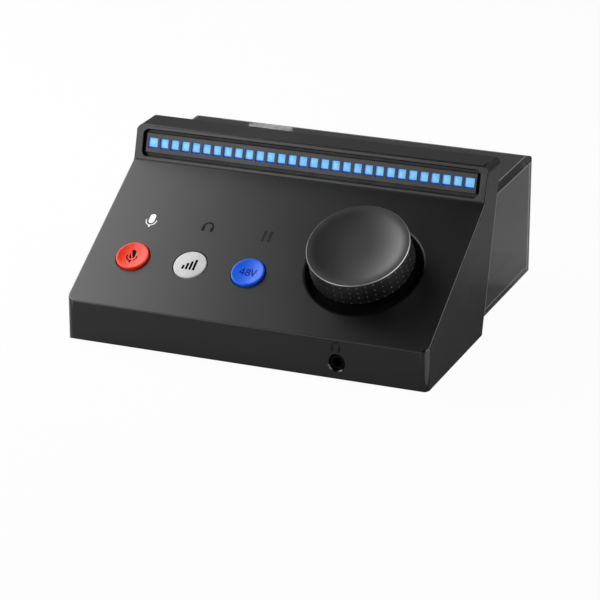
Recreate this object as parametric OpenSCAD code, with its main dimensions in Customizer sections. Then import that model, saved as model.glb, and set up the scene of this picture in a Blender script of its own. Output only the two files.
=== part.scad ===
// Desktop audio interface. A wedge-shaped control housing carries a large endless dial, three push
// buttons and a lit level meter along its ridge. A smoked clear housing behind it holds the sockets.
// Lengths are millimetres, with X across, Y towards the back and Z up.

/* [Wedge housing] */
// Width of the wedge housing
body_w = 150; // [146:1:170]
// Height of the front wall
front_h = 16.2; // [15.6:0.1:20]
// Length of the control slope
slope_len = 74.8; // [73:0.1:85]
// Angle of the control slope from level
slope_deg = 30.7; // [28:0.1:33]
// Length of the meter ridge up its face
ridge_len = 14.5; // [14:0.1:18]
// Angle of the meter ridge from level
ridge_deg = 73.2; // [70:0.1:78]
// Depth of the level strip on top
top_len = 14; // [12:0.1:18]
// Lean of the back wall from upright
back_lean = 15.3; // [12:0.1:17]
// Wall of the wedge housing
wall = 2.4; // [2:0.1:2.8]
// Rounding of the upright front corners
front_corner_r = 3.3; // [2:0.1:5]
// Rounding of the side corners of the top
top_corner_r = 3; // [1.5:0.1:4]
// Small rounding along the moulded edges
edge_r = 0.8; // [0.3:0.1:1.2]

/* [Rear housing] */
// Whole depth, from the front wall to the back of the rear housing
total_depth = 127; // [122:1:150]
// Side inset of the rear housing from the wedge
cover_inset = 0.3; // [0.1:0.1:1]
// Height of the rear housing's underside above the wedge's underside
cover_floor = 5.1; // [4:0.1:6]
// Height of the rear housing's top above the wedge's underside
cover_top = 55.9; // [54:0.1:60]
// Wall of the rear housing
cover_wall = 2.6; // [2.2:0.1:3]
// Rounding of the rear housing's side edges and of its opening
cover_r = 2.6; // [1.5:0.1:4]
// Rounding of the rear housing's back edges
cover_back_r = 4; // [2:0.1:5]
// Gap between the rear housing and the wedge
seam = 0.1; // [0.05:0.05:0.3]
// Frame left on each side of the opening for the sockets
cover_frame = 9.4; // [9:0.1:12]
// Height of the opening for the sockets in the back
rear_open_h = 40; // [38:0.5:42]
// Thickness of the socket plate
rear_panel_t = 1.6; // [1.2:0.1:2.4]

/* [Base and feet] */
// Thickness of the base plate
plate_t = 2.4; // [2.2:0.1:2.6]
// Gap between the base plate and the walls
plate_gap = 0.2; // [0.1:0.05:0.5]
// How far the front feet stand below the wedge
foot_h = 1.2; // [0.8:0.1:2]
// Radius of the front feet
front_foot_r = 5; // [4:0.5:7]
// Radius of the rear feet
rear_foot_r = 6; // [5:0.5:8]
// Depth of the recesses that hold the front feet
foot_recess = 0.6; // [0.4:0.1:0.9]

/* [Dial] */
// Distance of the dial's axis from the right side
dial_side = 37.2; // [33:0.1:39]
// Place of the dial up the slope
dial_s = 35.6; // [34:0.1:38]
// Radius of the dial's top
dial_r = 20.2; // [18:0.1:21]
// How much wider the grip is at its lower edge
grip_flare = 0.3; // [0.1:0.1:0.6]
// Height of the dial's rim above the slope
dial_h = 13.6; // [13:0.1:18]
// Height of the grip's lower edge above the slope
grip_lift = 3; // [2:0.1:4]
// Depth of the dish in the dial's top
dish_depth = 2; // [1:0.1:2.8]
// Gap between the grip and the well under the dial
well_gap = 1.4; // [0.9:0.1:2]
// Rounding of the well's mouth
well_lip_r = 2.4; // [1.5:0.1:2.8]
// Depth of the well below the slope
well_depth = 3.4; // [3:0.1:4]
// Floor of the well
well_floor = 2.2; // [1.8:0.1:3]
// Radius of the dial's shaft
shaft_r = 3; // [2.5:0.1:3.2]
// Running clearance round the shaft
shaft_gap = 0.05; // [0.02:0.01:0.1]

/* [Buttons] */
// Radius of a button cap
button_r = 6.9; // [6:0.1:7.2]
// Distance of the first button from the left side
button_side = 19; // [18:0.5:21]
// Distance of the last button from the dial's axis
button_dial = 44.6; // [38:0.1:48]
// Place of the buttons up the slope
button_s = 25.3; // [25:0.1:28]
// Gap round a button cap
button_gap = 0.3; // [0.2:0.05:0.5]
// How far the dished caps stand out of the slope
button_proud = 1.1; // [0.7:0.1:1.6]
// How far the flat cap stands out of the slope
flat_proud = 0.6; // [0.5:0.1:1.4]
// Depth of the dish in a cap
button_dish = 0.6; // [0.2:0.1:0.9]
// Travel of a button
button_travel = 0.5; // [0.3:0.1:0.8]

/* [Level meter] */
// Windows of one width in the meter
led_count = 28; // [20:1:28]
// Web between two meter windows
led_rib = 1.13; // [0.8:0.01:1.8]
// Width of the first and last window
led_end_w = 4.1; // [3:0.1:4.3]
// Height of a meter window
led_h = 4.1; // [3:0.1:5]
// Frame of the ridge left at each end of the meter's slot
slot_edge = 3.3; // [2.6:0.1:3.6]
// Height of the meter's slot in the ridge
slot_h = 10.9; // [10:0.1:11]
// Corner rounding of the meter's slot
slot_r = 2.2; // [1:0.1:3]
// Gap between the bar and each end of its slot
bar_gap = 1.3; // [1.1:0.1:1.6]
// Height of the bar that stands in the slot
bar_h = 8; // [7:0.1:8.6]
// Depth of the bar's face below the ridge
bar_set = 0.4; // [0.2:0.1:1]
// Depth of the lit faces below the bar's face
lens_set = 1.5; // [0.6:0.1:1.8]
// Flange of the meter panel behind the ridge
led_flange_t = 1.6; // [1.2:0.1:2]

/* [Sockets] */
// Distance of the headphone socket's axis from the right side
jack_side = 36.6; // [30:0.1:42]
// Height of the headphone socket's axis above the wedge's underside
jack_z = 6.7; // [6.6:0.1:8]
// Radius of the hole for the headphone socket
jack_hole_r = 3.2; // [3.1:0.1:3.6]
// Radius of the headphone socket's bore
jack_bore_r = 1.8; // [1.75:0.01:1.9]
// Radius of the large jack bores
trs_bore_r = 3.25; // [3.2:0.01:3.4]
// Distance of the combined microphone socket's axis from the side of the opening
combo_side = 23.3; // [20:0.1:26]
// Height of the combined socket's axis above the wedge's underside
combo_z = 31; // [29.5:0.1:32]
// Radius of the combined socket's mouth
combo_mouth_r = 9.8; // [9.5:0.1:10.2]
// Place of the first line output across the back
line_x = -6; // [-8:0.5:0]
// Spacing of the line outputs
line_pitch = 24; // [22:0.5:25]
// Distance of the data socket's middle from the side of the opening
usb_side = 10.3; // [8:0.1:15]

/* [Boards] */
// Thickness of the boards
board_t = 1.6; // [1.2:0.1:2]
// Thickness of the small boards
thin_board_t = 1; // [0.8:0.1:1]
// Height of the standoffs under the main board
standoff_h = 4; // [3:0.1:5]
// Height of the dial encoder's case
encoder_h = 6.4; // [6:0.1:7.5]
// Width of a ribbon between the main boards
ribbon_w = 20; // [12:1:30]
// Thickness of a ribbon
ribbon_t = 0.4; // [0.3:0.1:0.6]

/* [Fasteners] */
// Radius of a screw's shank
screw_r = 1.2; // [1:0.05:1.3]
// Radius of a screw's head
screw_head_r = 2.3; // [2:0.1:2.5]
// Height of a screw's head
screw_head_h = 1.4; // [1:0.1:1.5]
// Clearance of a screw in the hole that it cuts its thread in
thread_gap = 0.05; // [0.02:0.01:0.1]
// Clearance of a screw or a nose in the hole that it passes through
pass_gap = 0.3; // [0.2:0.05:0.4]
// Radius of the screw posts
post_r = 3; // [2.6:0.1:3.2]

/* [Hidden] */
$fn = 96;
// Overshoot of a cut past the face that it leaves
slack = 1;
// Gap between close parts of the same assembly
seat_gap = 0.1;
// Clear space kept round moving pieces
clear = 0.3;

// Outline of the wedge seen from the side, as points of depth and height
front_foot = [0, 0];
slope_foot = [0, front_h];
slope_way = [cos(slope_deg), sin(slope_deg)];
ridge_way = [cos(ridge_deg), sin(ridge_deg)];
ridge_foot = slope_foot + slope_len * slope_way;
ridge_top = ridge_foot + ridge_len * ridge_way;
top_back = ridge_top + [top_len, 0];
back_foot = [top_back[0] - top_back[1] * tan(back_lean), 0];
wedge = [front_foot, slope_foot, ridge_foot, ridge_top, top_back, back_foot];
cavity_w = body_w - 2 * wall;
wall_across = wall / cos(back_lean);

// Rear housing
cover_w = body_w - 2 * cover_inset;
cover_inner_w = cover_w - 2 * cover_wall;
cover_lo = cover_floor + cover_wall;
cover_hi = cover_top - cover_wall;
cover_mid = (cover_floor + cover_top) / 2;
rear_panel_back = total_depth - cover_wall;
rear_panel_front = rear_panel_back - rear_panel_t;
rear_open_w = cover_w - 2 * cover_frame;
rear_panel_w = cover_inner_w - 2 * clear;
rear_panel_h = cover_hi - cover_lo - 2 * seat_gap;

// Screw posts
base_post_h = 10;
base_post_x = body_w / 2 - wall - post_r + 0.6;
base_post_front = 9.5;
base_post_inset = 6.7;
pilot_r = screw_r + thread_gap;
pass_r = screw_r + pass_gap;
pilot_depth = 8;
head_seat = screw_head_h + seat_gap;
cover_post_x = cover_inner_w / 2 - post_r + 0.5;
cover_post_len = 9;
cover_post_lo = 16;
cover_post_hi = 48;
cover_window_edge = 13.1;
cover_window_w = cover_inner_w - 2 * cover_window_edge;
cover_window = [12, 48];
panel_screw_edge = 2.9;
panel_screw_x = rear_panel_w / 2 - panel_screw_edge;
panel_screw_dz = 14;

// Base plate and feet
plate_w = cavity_w - 2 * plate_gap;
plate_front = wall + plate_gap;
plate_back = back_foot[0] - wall_across - plate_gap;
base_post_back = plate_back - base_post_inset;
front_foot_side = 19;
front_foot_x = body_w / 2 - front_foot_side;
front_foot_y = 11;
rear_foot_side = 23;
rear_foot_x = body_w / 2 - rear_foot_side;
rear_foot_back = 16;
rear_foot_y = total_depth - rear_foot_back;

// Dial and its encoder, as heights above the slope
dial_x = body_w / 2 - dial_side;
grip_r = dial_r + grip_flare;
well_r = grip_r + well_gap;
well_deep = -well_depth - well_floor;
board_top = well_deep - encoder_h;
board_under = board_top - board_t;
encoder_w = 12;
bush_r = 4.2;
bush_top = 0.6;
bush_gap = 0.1;
nut_r = 6.4;
nut_t = 1.8;
shaft_base = 0.8;
cup_r = well_r + well_floor;
cap_rim_t = 0.85;
cap_web = 1.5;
cap_under = dial_h - dish_depth - cap_web;
cap_seat_r = dial_r - 2.2;
cap_lip_r = 7;
cap_lip_x = dial_r - 2.2;
cap_edge = 0.35;
cap_edge_r = dial_r - cap_edge;
cap_edge_z = dial_h - cap_lip_r + sqrt(pow(cap_lip_r, 2) - pow(cap_edge_r - cap_lip_x, 2));
dish_ease = 0.6;
dish_steps = 720;
dish_r = (cap_lip_x * cap_lip_x + dish_depth * dish_depth) / (2 * dish_depth) - cap_lip_r + dish_ease;
dish_z = dial_h - dish_depth + dish_r;
dish_end = dish_r * sin(atan2(cap_lip_x, dish_z - dial_h + cap_lip_r));
grip_wall = 2.4;
grip_web = 2.2;
grip_floor = cap_under - grip_web;
hub_r = 6.2;
hub_bottom = bush_top + clear;
shaft_top = cap_under - 0.6;
shaft_flat = shaft_r * 0.55;
flat_from = hub_bottom + 0.4;

// Buttons and their switches, as heights above the slope
button_names = ["mute", "level", "phantom"];
button_x = button_side - body_w / 2;
last_button_x = dial_x - button_dial;
button_pitch = (last_button_x - button_x) / (len(button_names) - 1);
cap_flange_r = button_r + 1.4;
cap_flange_t = 1.2;
cap_flange_top = -wall - clear;
cap_stem_r = 2.4;
cap_round = 0.5;
dish_rim = 0.9;
switch_w = 6.2;
switch_h = 3.6;
switch_out = 1.5;
switch_top = board_top + switch_h;
plunger_r = 1.75;
plunger_gap = 0.1;
plunger_in = 1.6;
plunger_top = switch_top + switch_out;
switch_floor = switch_top - plunger_in - button_travel - clear;

// Icon windows over their light guides
icon_s = 44.6;
icon_guide_r = 4.2;
icon_skin = 0.8;
icon_led = [2, 1.2, 0.8];
icon_led_gap = 0.5;

// Control board, in places across and up the slope
control_edge = 6.6;
control_w = cavity_w - 2 * control_edge;
control_lo = 11;
control_hi = 61;
control_post_edge = 4;
control_post_x = control_w / 2 - control_post_edge;
control_post_off = 6.8;
control_post_mid = last_button_x + control_post_off;
control_post_s = [control_lo + control_post_edge, control_hi - control_post_edge];
control_posts = [for (x = [-control_post_x, control_post_mid, control_post_x], s = control_post_s) [x, s]];

// Level meter, as heights up the ridge and depths behind its face
slot_mid = 7.2;
bar_mid = 7.3;
slot_w = body_w - 2 * slot_edge;
bar_w = slot_w - 2 * bar_gap;
bar_end = 0.945;
led_end_gap = 1.1;
led_run = bar_w - 2 * (bar_end + led_end_w + led_end_gap);
led_pitch = (led_run + led_rib) / led_count;
led_w = led_pitch - led_rib;
led_x = [for (i = [0 : led_count - 1]) (i - (led_count - 1) / 2) * led_pitch];
led_end_x = led_x[led_count - 1] + led_w / 2 + led_end_gap + led_end_w / 2;
led_places = concat([[-led_end_x, led_end_w]], [for (x = led_x) [x, led_w]], [[led_end_x, led_end_w]]);
led_flange_lo = 0.2;
led_flange_hi = 12.45;
led_flange_back = wall + led_flange_t;
led_rail = 1.2;
led_rail_lo = 1;
led_rail_hi = 11.2;
led_board_front = led_flange_back + led_rail;
led_board_back = led_board_front + thin_board_t;
led_chip = [2, 1.6, 0.8];

// Headphone socket on its small board
jack_x = body_w / 2 - jack_side;
jack_body = [7, 14.2];
jack_body_r = 3;
jack_nose_set = 1.1;
jack_chamfer = 0.45;
jack_board_top = jack_z - jack_body_r;
jack_board_lo = jack_board_top - thin_board_t;
jack_board_w = 22;
jack_board_front = wall + 1;
jack_board_back = 31;
jack_bore_len = 13.4;
jack_ring_r = 2.6;
jack_ring_t = 0.9;
jack_ring_back = jack_nose_set + jack_ring_t;
jack_ring_bore = jack_bore_r + 0.15;
jack_screw_x = 8;
jack_screw_y = 24;
jack_screw_r = 0.9;
jack_screw_head = [1.7, 1];

// Main board and its sockets
main_lo = cover_lo + standoff_h;
main_top = main_lo + board_t;
main_edge = 5.1;
main_w = cover_inner_w - 2 * main_edge;
main_front = 80;
main_back = rear_panel_front - 0.4;
main_post_edge = 5;
main_post_x = main_w / 2 - main_post_edge;
main_post_front = 86;
main_post_back = main_back - main_post_edge;
combo_x = rear_open_w / 2 - combo_side;
usb_x = usb_side - rear_open_w / 2;
line_body = [15.6, 30, 20];
line_axis = main_top + 11.5;
line_nose_r = 5.8;
line_nut_r = 8;
line_nut_t = 2;
line_bore_len = 31;
line_places = [line_x, line_x - line_pitch];
combo_flange = [26, 31, 2.3];
combo_flange_r = 3;
combo_barrel_r = 11.9;
combo_barrel_len = 32;
combo_mouth_depth = 14.8;
combo_insert_r = 7.8;
combo_insert_set = 1.2;
combo_end = 4;
combo_pin_r = 1.35;
combo_pin_at = 5.6;
combo_pin_depth = 12;
combo_face = rear_panel_back + combo_flange[2];
combo_mouth_end = combo_face - combo_mouth_depth;
combo_back = rear_panel_back - combo_barrel_len;
combo_insert_back = combo_back + combo_end;
combo_insert_face = combo_face - combo_insert_set;
combo_bore_end = combo_insert_back + 1;
combo_pin_end = combo_insert_face - combo_pin_depth;
combo_screw = [9.5, 12];
usb_shell = [8.94, 3.26];
usb_wall = 0.3;
usb_len = 7.4;
usb_back_wall = 0.8;
usb_face = rear_panel_back + 0.6;
usb_axis = main_top + usb_shell[1] / 2;
usb_tongue = [6.7, 0.7, 5.2];
usb_slot_gap = 0.35;
chip_gap = 1;
chip_sizes = [[10, 10, 1.4], [9, 9, 1.2], [7, 7, 1], [5, 6.2, 1.5], [5, 6.2, 1.5]];
can_r = 4;
can_h = 9;
can_gap = 0.6;
line_right = line_places[0] + line_body[0] / 2;
line_left = line_places[1] - line_body[0] / 2;
beside_left = line_left - chip_gap - chip_sizes[1][0] / 2;
beside_combo = combo_x - combo_barrel_r - can_gap - can_r;
between_lines = (line_places[0] + line_places[1]) / 2;
chip_x = [
    line_right + chip_gap + chip_sizes[0][0] / 2, beside_left, beside_left, between_lines,
    combo_x + combo_barrel_r + chip_gap + chip_sizes[4][0] / 2
];
chip_y = [98, 94.5, 104, 95, 95];
can_x = [beside_combo, beside_combo, beside_left];
can_y = [95.5, 104.5, 85];

// Ribbons and the sockets that hold their ends
ribbon_socket = [4, 2.2];
small_ribbon_w = 8;
ribbon_steps = 14;
main_ribbon_x = (line_right + combo_x - combo_barrel_r) / 2;
main_ribbon_s = 52;
main_ribbon_y = 86;
main_ribbon_pull = 16;
led_ribbon_s = 56;
led_ribbon_t = 2.4;
led_ribbon_pull = 10;
led_ribbon_x = -30;
jack_ribbon_s = 22;
jack_ribbon_y = 26;
jack_ribbon_pull = 8;

// Plain geometry
function unit(v) = v / norm(v);
function edge_normal(a, b) = let (d = unit(b - a)) [d[1], -d[0]];
// A corner p of a clockwise outline, moved in by d from both of its edges
function inset_corner(a, p, b, d) =
    let (m = edge_normal(a, p), n = edge_normal(p, b))
    p + (m + n) * d / (1 + m * n);
function half_angle(a, p, b) = acos(unit(a - p) * unit(b - p)) / 2;
function arc_centre(a, p, b, r) = p + unit(unit(a - p) + unit(b - p)) * r / sin(half_angle(a, p, b));
// The two points where a rounding of radius r leaves the edges beside corner p
function arc_ends(a, p, b, r) =
    let (k = r / tan(half_angle(a, p, b)))
    [p + unit(a - p) * k, p + unit(b - p) * k];
function back_y(z) = back_foot[0] + z * tan(back_lean);
function slope_point(s, h) = slope_foot + s * slope_way + h * [-slope_way[1], slope_way[0]];
function ridge_point(t, d) = ridge_foot + t * ridge_way + d * [ridge_way[1], -ridge_way[0]];
// A curve through four control points, and its direction, from u = 0 to u = 1
function bezier(p, u) =
    let (v = 1 - u)
    v * v * v * p[0] + 3 * u * v * v * p[1] + 3 * u * u * v * p[2] + u * u * u * p[3];
function bezier_way(p, u) =
    let (v = 1 - u)
    unit(v * v * (p[1] - p[0]) + 2 * u * v * (p[2] - p[1]) + u * u * (p[3] - p[2]));
// The range of a size about its middle
function span(middle, size) = [middle - size / 2, middle + size / 2];
function four(r) = is_list(r) ? r : [r, r, r, r];

// An outline with its corners rounded, each by its own radius
module rounded_outline(points, radii) {
    n = len(points);
    polygon([for (i = [0 : n - 1])
        let (a = points[(i + n - 1) % n], p = points[i], b = points[(i + 1) % n])
        each radii[i] > 0 ? arc_ends(a, p, b, radii[i]) : [p]]);
    for (i = [0 : n - 1])
        if (radii[i] > 0)
            translate(arc_centre(points[(i + n - 1) % n], points[i], points[(i + 1) % n], radii[i]))
                circle(r = radii[i]);
}

// A rectangle about the origin with one radius, or four from the lower left corner clockwise
module rounded_rect(w, h, radii) {
    rounded_outline([[-w / 2, -h / 2], [-w / 2, h / 2], [w / 2, h / 2], [w / 2, -h / 2]], four(radii));
}

// The part's own place: standing on its feet, centred over its footprint
module in_place() {
    translate([0, -total_depth / 2, foot_h])
        children();
}

// A side outline of depth and height, drawn out across the width
module across(w) {
    rotate([90, 0, 90])
        linear_extrude(height = w, center = true)
            children();
}

// A front outline of width and height, drawn out towards the back from y0 to y1
module backwards(y0, y1) {
    translate([0, y1, 0])
        rotate([90, 0, 0])
            linear_extrude(height = y1 - y0)
                children();
}

// A round rod along Y from y0 to y1 at a place across and up
module rod_y(x, z, y0, y1, r) {
    translate([x, y1, z])
        rotate([90, 0, 0])
            cylinder(h = y1 - y0, r = r);
}

// Local axes on the slope: across, up the slope, out of the slope
module on_slope() {
    translate([0, slope_foot[0], slope_foot[1]])
        rotate([slope_deg, 0, 0])
            children();
}

// Local axes on the ridge: across, up the ridge, out of the ridge
module on_ridge() {
    translate([0, ridge_foot[0], ridge_foot[1]])
        rotate([ridge_deg, 0, 0])
            children();
}

// Local axes on the back wall: across, up the wall, out of the wall
module on_back() {
    translate([0, back_foot[0], 0])
        rotate([90 + back_lean, 0, 180])
            children();
}

// A block that fills a range on each axis
module block(x, y, z) {
    translate([x[0], y[0], z[0]])
        cube([x[1] - x[0], y[1] - y[0], z[1] - z[0]]);
}

// A post with no hole, from z0 to z1
module post(z0, z1, r) {
    translate([0, 0, z0])
        cylinder(h = z1 - z0, r = r);
}

// A screw with its head above the origin and its shank below
module screw(len) {
    post(0, screw_head_h, screw_head_r);
    post(-len, 0, screw_r);
}

module base_post_places() {
    for (x = [-base_post_x, base_post_x], y = [base_post_front, base_post_back])
        translate([x, y, 0])
            children();
}

module cover_post_places() {
    for (x = [-cover_post_x, cover_post_x], z = [cover_post_lo, cover_post_hi])
        translate([x, z / cos(back_lean), 0])
            children();
}

module control_post_places() {
    for (p = control_posts)
        translate([p[0], p[1], 0])
            children();
}

module main_post_places() {
    for (x = [-main_post_x, main_post_x], y = [main_post_front, main_post_back])
        translate([x, y, 0])
            children();
}

module panel_screw_places() {
    for (x = [-panel_screw_x, panel_screw_x], z = [cover_mid - panel_screw_dz, cover_mid + panel_screw_dz])
        translate([x, 0, z])
            children();
}

module combo_screw_places() {
    for (k = [-1, 1])
        translate([combo_x + k * combo_screw[0], 0, combo_z + k * combo_screw[1]])
            children();
}

module button_place(i) {
    translate([button_x + i * button_pitch, button_s, 0])
        children();
}

module icon_places() {
    for (i = [0 : len(button_names) - 1])
        translate([button_x + i * button_pitch, icon_s, 0])
            children();
}

module dial_place() {
    on_slope()
        translate([dial_x, dial_s, 0])
            children();
}

// Wedge with its rounded edges, and the hollow inside it
module wedge_solid() {
    intersection() {
        across(body_w)
            rounded_outline(wedge, [edge_r, edge_r, 0, edge_r, edge_r, 0]);
        translate([0, top_back[0] / 2, 0])
            linear_extrude(height = top_back[1])
                rounded_rect(body_w, top_back[0], [front_corner_r, 0, 0, front_corner_r]);
        backwards(0, top_back[0])
            translate([0, top_back[1] / 2])
                rounded_rect(body_w, top_back[1], [0, top_corner_r, top_corner_r, 0]);
    }
}

module wedge_cavity() {
    across(cavity_w)
        polygon([
            [wall, -slack],
            inset_corner(front_foot, slope_foot, ridge_foot, wall),
            inset_corner(slope_foot, ridge_foot, ridge_top, wall),
            inset_corner(ridge_foot, ridge_top, top_back, wall),
            inset_corner(ridge_top, top_back, back_foot, wall),
            [back_y(-slack) - wall_across, -slack]
        ]);
}

// The well under the dial, with its mouth rounded over into the slope
module dial_well() {
    dial_place()
        rotate_extrude()
            union() {
                translate([0, -well_depth])
                    square([well_r, well_depth + slack]);
                difference() {
                    translate([0, -well_lip_r])
                        square([well_r + well_lip_r, well_lip_r + slack]);
                    translate([well_r + well_lip_r, -well_lip_r])
                        circle(r = well_lip_r);
                }
            }
}

module front_shell() {
    color("#1c1c1e")
        in_place()
            difference() {
                union() {
                    difference() {
                        wedge_solid();
                        wedge_cavity();
                    }
                    dial_place()
                        post(well_deep, -wall / 2, cup_r);
                    on_slope()
                        control_post_places()
                            post(board_top, -wall / 2, post_r);
                    base_post_places()
                        post(plate_t, plate_t + base_post_h, post_r);
                }
                dial_well();
                dial_place()
                    post(well_deep - slack, slack, bush_r + bush_gap);
                on_slope() {
                    for (i = [0 : len(button_names) - 1])
                        button_place(i)
                            post(-wall - slack, slack, button_r + button_gap);
                    icon_places()
                        post(-wall - slack, -icon_skin, icon_guide_r + seat_gap);
                    control_post_places()
                        post(board_top - slack, board_top + pilot_depth, pilot_r);
                }
                on_ridge()
                    translate([0, slot_mid, -wall - slack])
                        linear_extrude(height = wall + 2 * slack)
                            rounded_rect(slot_w, slot_h, slot_r);
                rod_y(jack_x, jack_z, -slack, wall + slack, jack_hole_r);
                translate([jack_x, 0, jack_z])
                    rotate([-90, 0, 0])
                        cylinder(h = jack_chamfer, r1 = jack_hole_r + jack_chamfer, r2 = jack_hole_r);
                base_post_places()
                    post(0, plate_t + pilot_depth, pilot_r);
                on_back() {
                    block(span(0, cover_window_w), cover_window, [-wall - slack, slack]);
                    cover_post_places()
                        post(-wall - slack, slack, pass_r);
                }
            }
}

module base_plate() {
    color("#161617")
        in_place()
            difference() {
                union() {
                    block(span(0, plate_w), [plate_front, plate_back], [0, plate_t]);
                    for (x = [-jack_screw_x, jack_screw_x])
                        translate([jack_x + x, jack_screw_y, 0])
                            post(plate_t / 2, jack_board_lo, post_r);
                }
                base_post_places() {
                    post(-slack, plate_t + slack, pass_r);
                    post(-slack, head_seat, screw_head_r + pass_gap);
                }
                for (x = [-front_foot_x, front_foot_x])
                    translate([x, front_foot_y, 0])
                        post(-slack, foot_recess, front_foot_r + seat_gap);
                for (x = [-jack_screw_x, jack_screw_x])
                    translate([jack_x + x, jack_screw_y, 0])
                        post(plate_t / 4, plate_t * 2, jack_screw_r + thread_gap);
            }
}

module rear_cover() {
    front_lo = back_y(cover_floor) + seam / cos(back_lean);
    front_hi = back_y(cover_top) + seam / cos(back_lean);
    color("#4a4b50", 0.45)
        in_place()
            difference() {
                union() {
                    difference() {
                        intersection() {
                            across(cover_w)
                                rounded_outline(
                                    [[front_lo, cover_floor], [front_hi, cover_top],
                                     [total_depth, cover_top], [total_depth, cover_floor]],
                                    [0, 0, cover_back_r, cover_back_r]);
                            backwards(front_lo, total_depth)
                                translate([0, cover_mid])
                                    rounded_rect(cover_w, cover_top - cover_floor, cover_r);
                            translate([0, (front_lo + total_depth) / 2, cover_floor])
                                linear_extrude(height = cover_top - cover_floor)
                                    rounded_rect(
                                        cover_w, total_depth - front_lo, [0, cover_back_r, cover_back_r, 0]);
                        }
                        block(
                            span(0, cover_inner_w),
                            [front_lo - slack, rear_panel_back],
                            [cover_lo, cover_hi]);
                    }
                    main_post_places()
                        post(cover_lo - cover_wall / 2, main_lo, post_r);
                    on_back()
                        cover_post_places()
                            post(seam, cover_post_len, post_r);
                }
                backwards(rear_panel_back - slack, total_depth + slack)
                    translate([0, cover_mid])
                        rounded_rect(rear_open_w, rear_open_h, cover_r);
                main_post_places()
                    post(cover_lo - cover_wall / 2, main_lo + slack, pilot_r);
                on_back()
                    cover_post_places()
                        post(0, pilot_depth, pilot_r);
                panel_screw_places() {
                    rod_y(0, 0, rear_panel_back - slack, total_depth + slack, pass_r);
                    rod_y(0, 0, total_depth - head_seat, total_depth + slack, screw_head_r + pass_gap);
                }
            }
}

module rear_panel() {
    color("#141416")
        in_place()
            difference() {
                backwards(rear_panel_front, rear_panel_back)
                    translate([0, cover_mid])
                        square([rear_panel_w, rear_panel_h], center = true);
                rod_y(combo_x, combo_z, rear_panel_front - slack, total_depth, combo_barrel_r + pass_gap);
                for (x = line_places)
                    rod_y(x, line_axis, rear_panel_front - slack, total_depth, line_nose_r + pass_gap);
                combo_screw_places()
                    rod_y(0, 0, rear_panel_front - slack, total_depth, pilot_r);
                backwards(rear_panel_front - slack, total_depth)
                    translate([usb_x, usb_axis])
                        usb_outline(usb_slot_gap);
                panel_screw_places()
                    rod_y(0, 0, rear_panel_front - slack, total_depth, pilot_r);
            }
}

// The bar with its row of windows, on a flange that sits behind the ridge
module led_panel() {
    color("#3c3c3f")
        in_place()
            on_ridge()
                difference() {
                    union() {
                        block(span(0, bar_w), span(bar_mid, bar_h), [-led_flange_back, -bar_set]);
                        block(span(0, plate_w), [led_flange_lo, led_flange_hi], [-led_flange_back, -wall]);
                        for (t = [led_rail_lo, led_rail_hi])
                            block(span(0, bar_w), [t, t + led_rail], [-led_board_front, -led_flange_back]);
                    }
                    for (p = led_places)
                        block(span(p[0], p[1]), span(bar_mid, led_h), [-led_flange_back - slack, 0]);
                }
}

module led_lenses() {
    color("#7cc4fa")
        in_place()
            on_ridge()
                for (p = led_places)
                    block(
                        span(p[0], p[1] - 2 * seat_gap),
                        span(bar_mid, led_h - 2 * seat_gap),
                        [-led_flange_back, -bar_set - lens_set]);
}

module led_board() {
    color("#12331f")
        in_place()
            on_ridge()
                block(
                    span(0, bar_w),
                    [led_rail_lo, led_rail_hi + led_rail],
                    [-led_board_back, -led_board_front]);
}

module led_chips() {
    color("#e8e8e4")
        in_place()
            on_ridge()
                for (p = led_places)
                    translate([p[0], bar_mid, -led_board_front + led_chip[2] / 2])
                        cube(led_chip, center = true);
}

module control_board() {
    color("#12331f")
        in_place()
            on_slope()
                difference() {
                    block(span(0, control_w), [control_lo, control_hi], [board_under, board_top]);
                    control_post_places()
                        post(board_under - slack, board_top + slack, pass_r);
                }
}

module push_switch(i) {
    color("#2a2a2c")
        in_place()
            on_slope()
                button_place(i)
                    difference() {
                        block(span(0, switch_w), span(0, switch_w), [board_top, switch_top]);
                        post(switch_floor, switch_top + slack, plunger_r + plunger_gap);
                    }
}

module mute_switch() {
    push_switch(0);
}

module level_switch() {
    push_switch(1);
}

module phantom_switch() {
    push_switch(2);
}

module push_plunger(i) {
    color("#d8d2c4")
        in_place()
            on_slope()
                button_place(i)
                    post(switch_top - plunger_in, plunger_top, plunger_r);
}

module mute_plunger() {
    push_plunger(0);
}

module level_plunger() {
    push_plunger(1);
}

module phantom_plunger() {
    push_plunger(2);
}

// A cap with a flange behind the slope, a stem on its switch and a top that is dished by depth
module push_cap(i, proud, depth) {
    rim = button_r - dish_rim;
    in_place()
        on_slope()
            button_place(i)
                difference() {
                    union() {
                        rotate_extrude()
                            intersection() {
                                square([button_r, proud]);
                                union() {
                                    square([button_r, proud - cap_round]);
                                    square([button_r - cap_round, proud]);
                                    translate([button_r - cap_round, proud - cap_round])
                                        circle(r = cap_round);
                                }
                            }
                        post(cap_flange_top - cap_flange_t, 0, button_r);
                        post(cap_flange_top - cap_flange_t, cap_flange_top, cap_flange_r);
                        post(plunger_top, cap_flange_top, cap_stem_r);
                    }
                    if (depth > 0)
                        translate([0, 0, proud - depth + (rim * rim + depth * depth) / (2 * depth)])
                            sphere(r = (rim * rim + depth * depth) / (2 * depth));
                }
}

module mute_cap() {
    color("#f0442b")
        push_cap(0, button_proud, button_dish);
}

module level_cap() {
    color("#e1e1e1")
        push_cap(1, flat_proud, 0);
}

module phantom_cap() {
    color("#2c62ee")
        push_cap(2, button_proud, button_dish);
}

module icon_light_guides() {
    color("#f2f2f2", 0.6)
        in_place()
            on_slope()
                icon_places()
                    post(board_top + icon_led[2] + icon_led_gap, -icon_skin - seat_gap, icon_guide_r);
}

module icon_leds() {
    color("#e8e8e4")
        in_place()
            on_slope()
                icon_places()
                    translate([0, 0, board_top + icon_led[2] / 2])
                        cube(icon_led, center = true);
}

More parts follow.
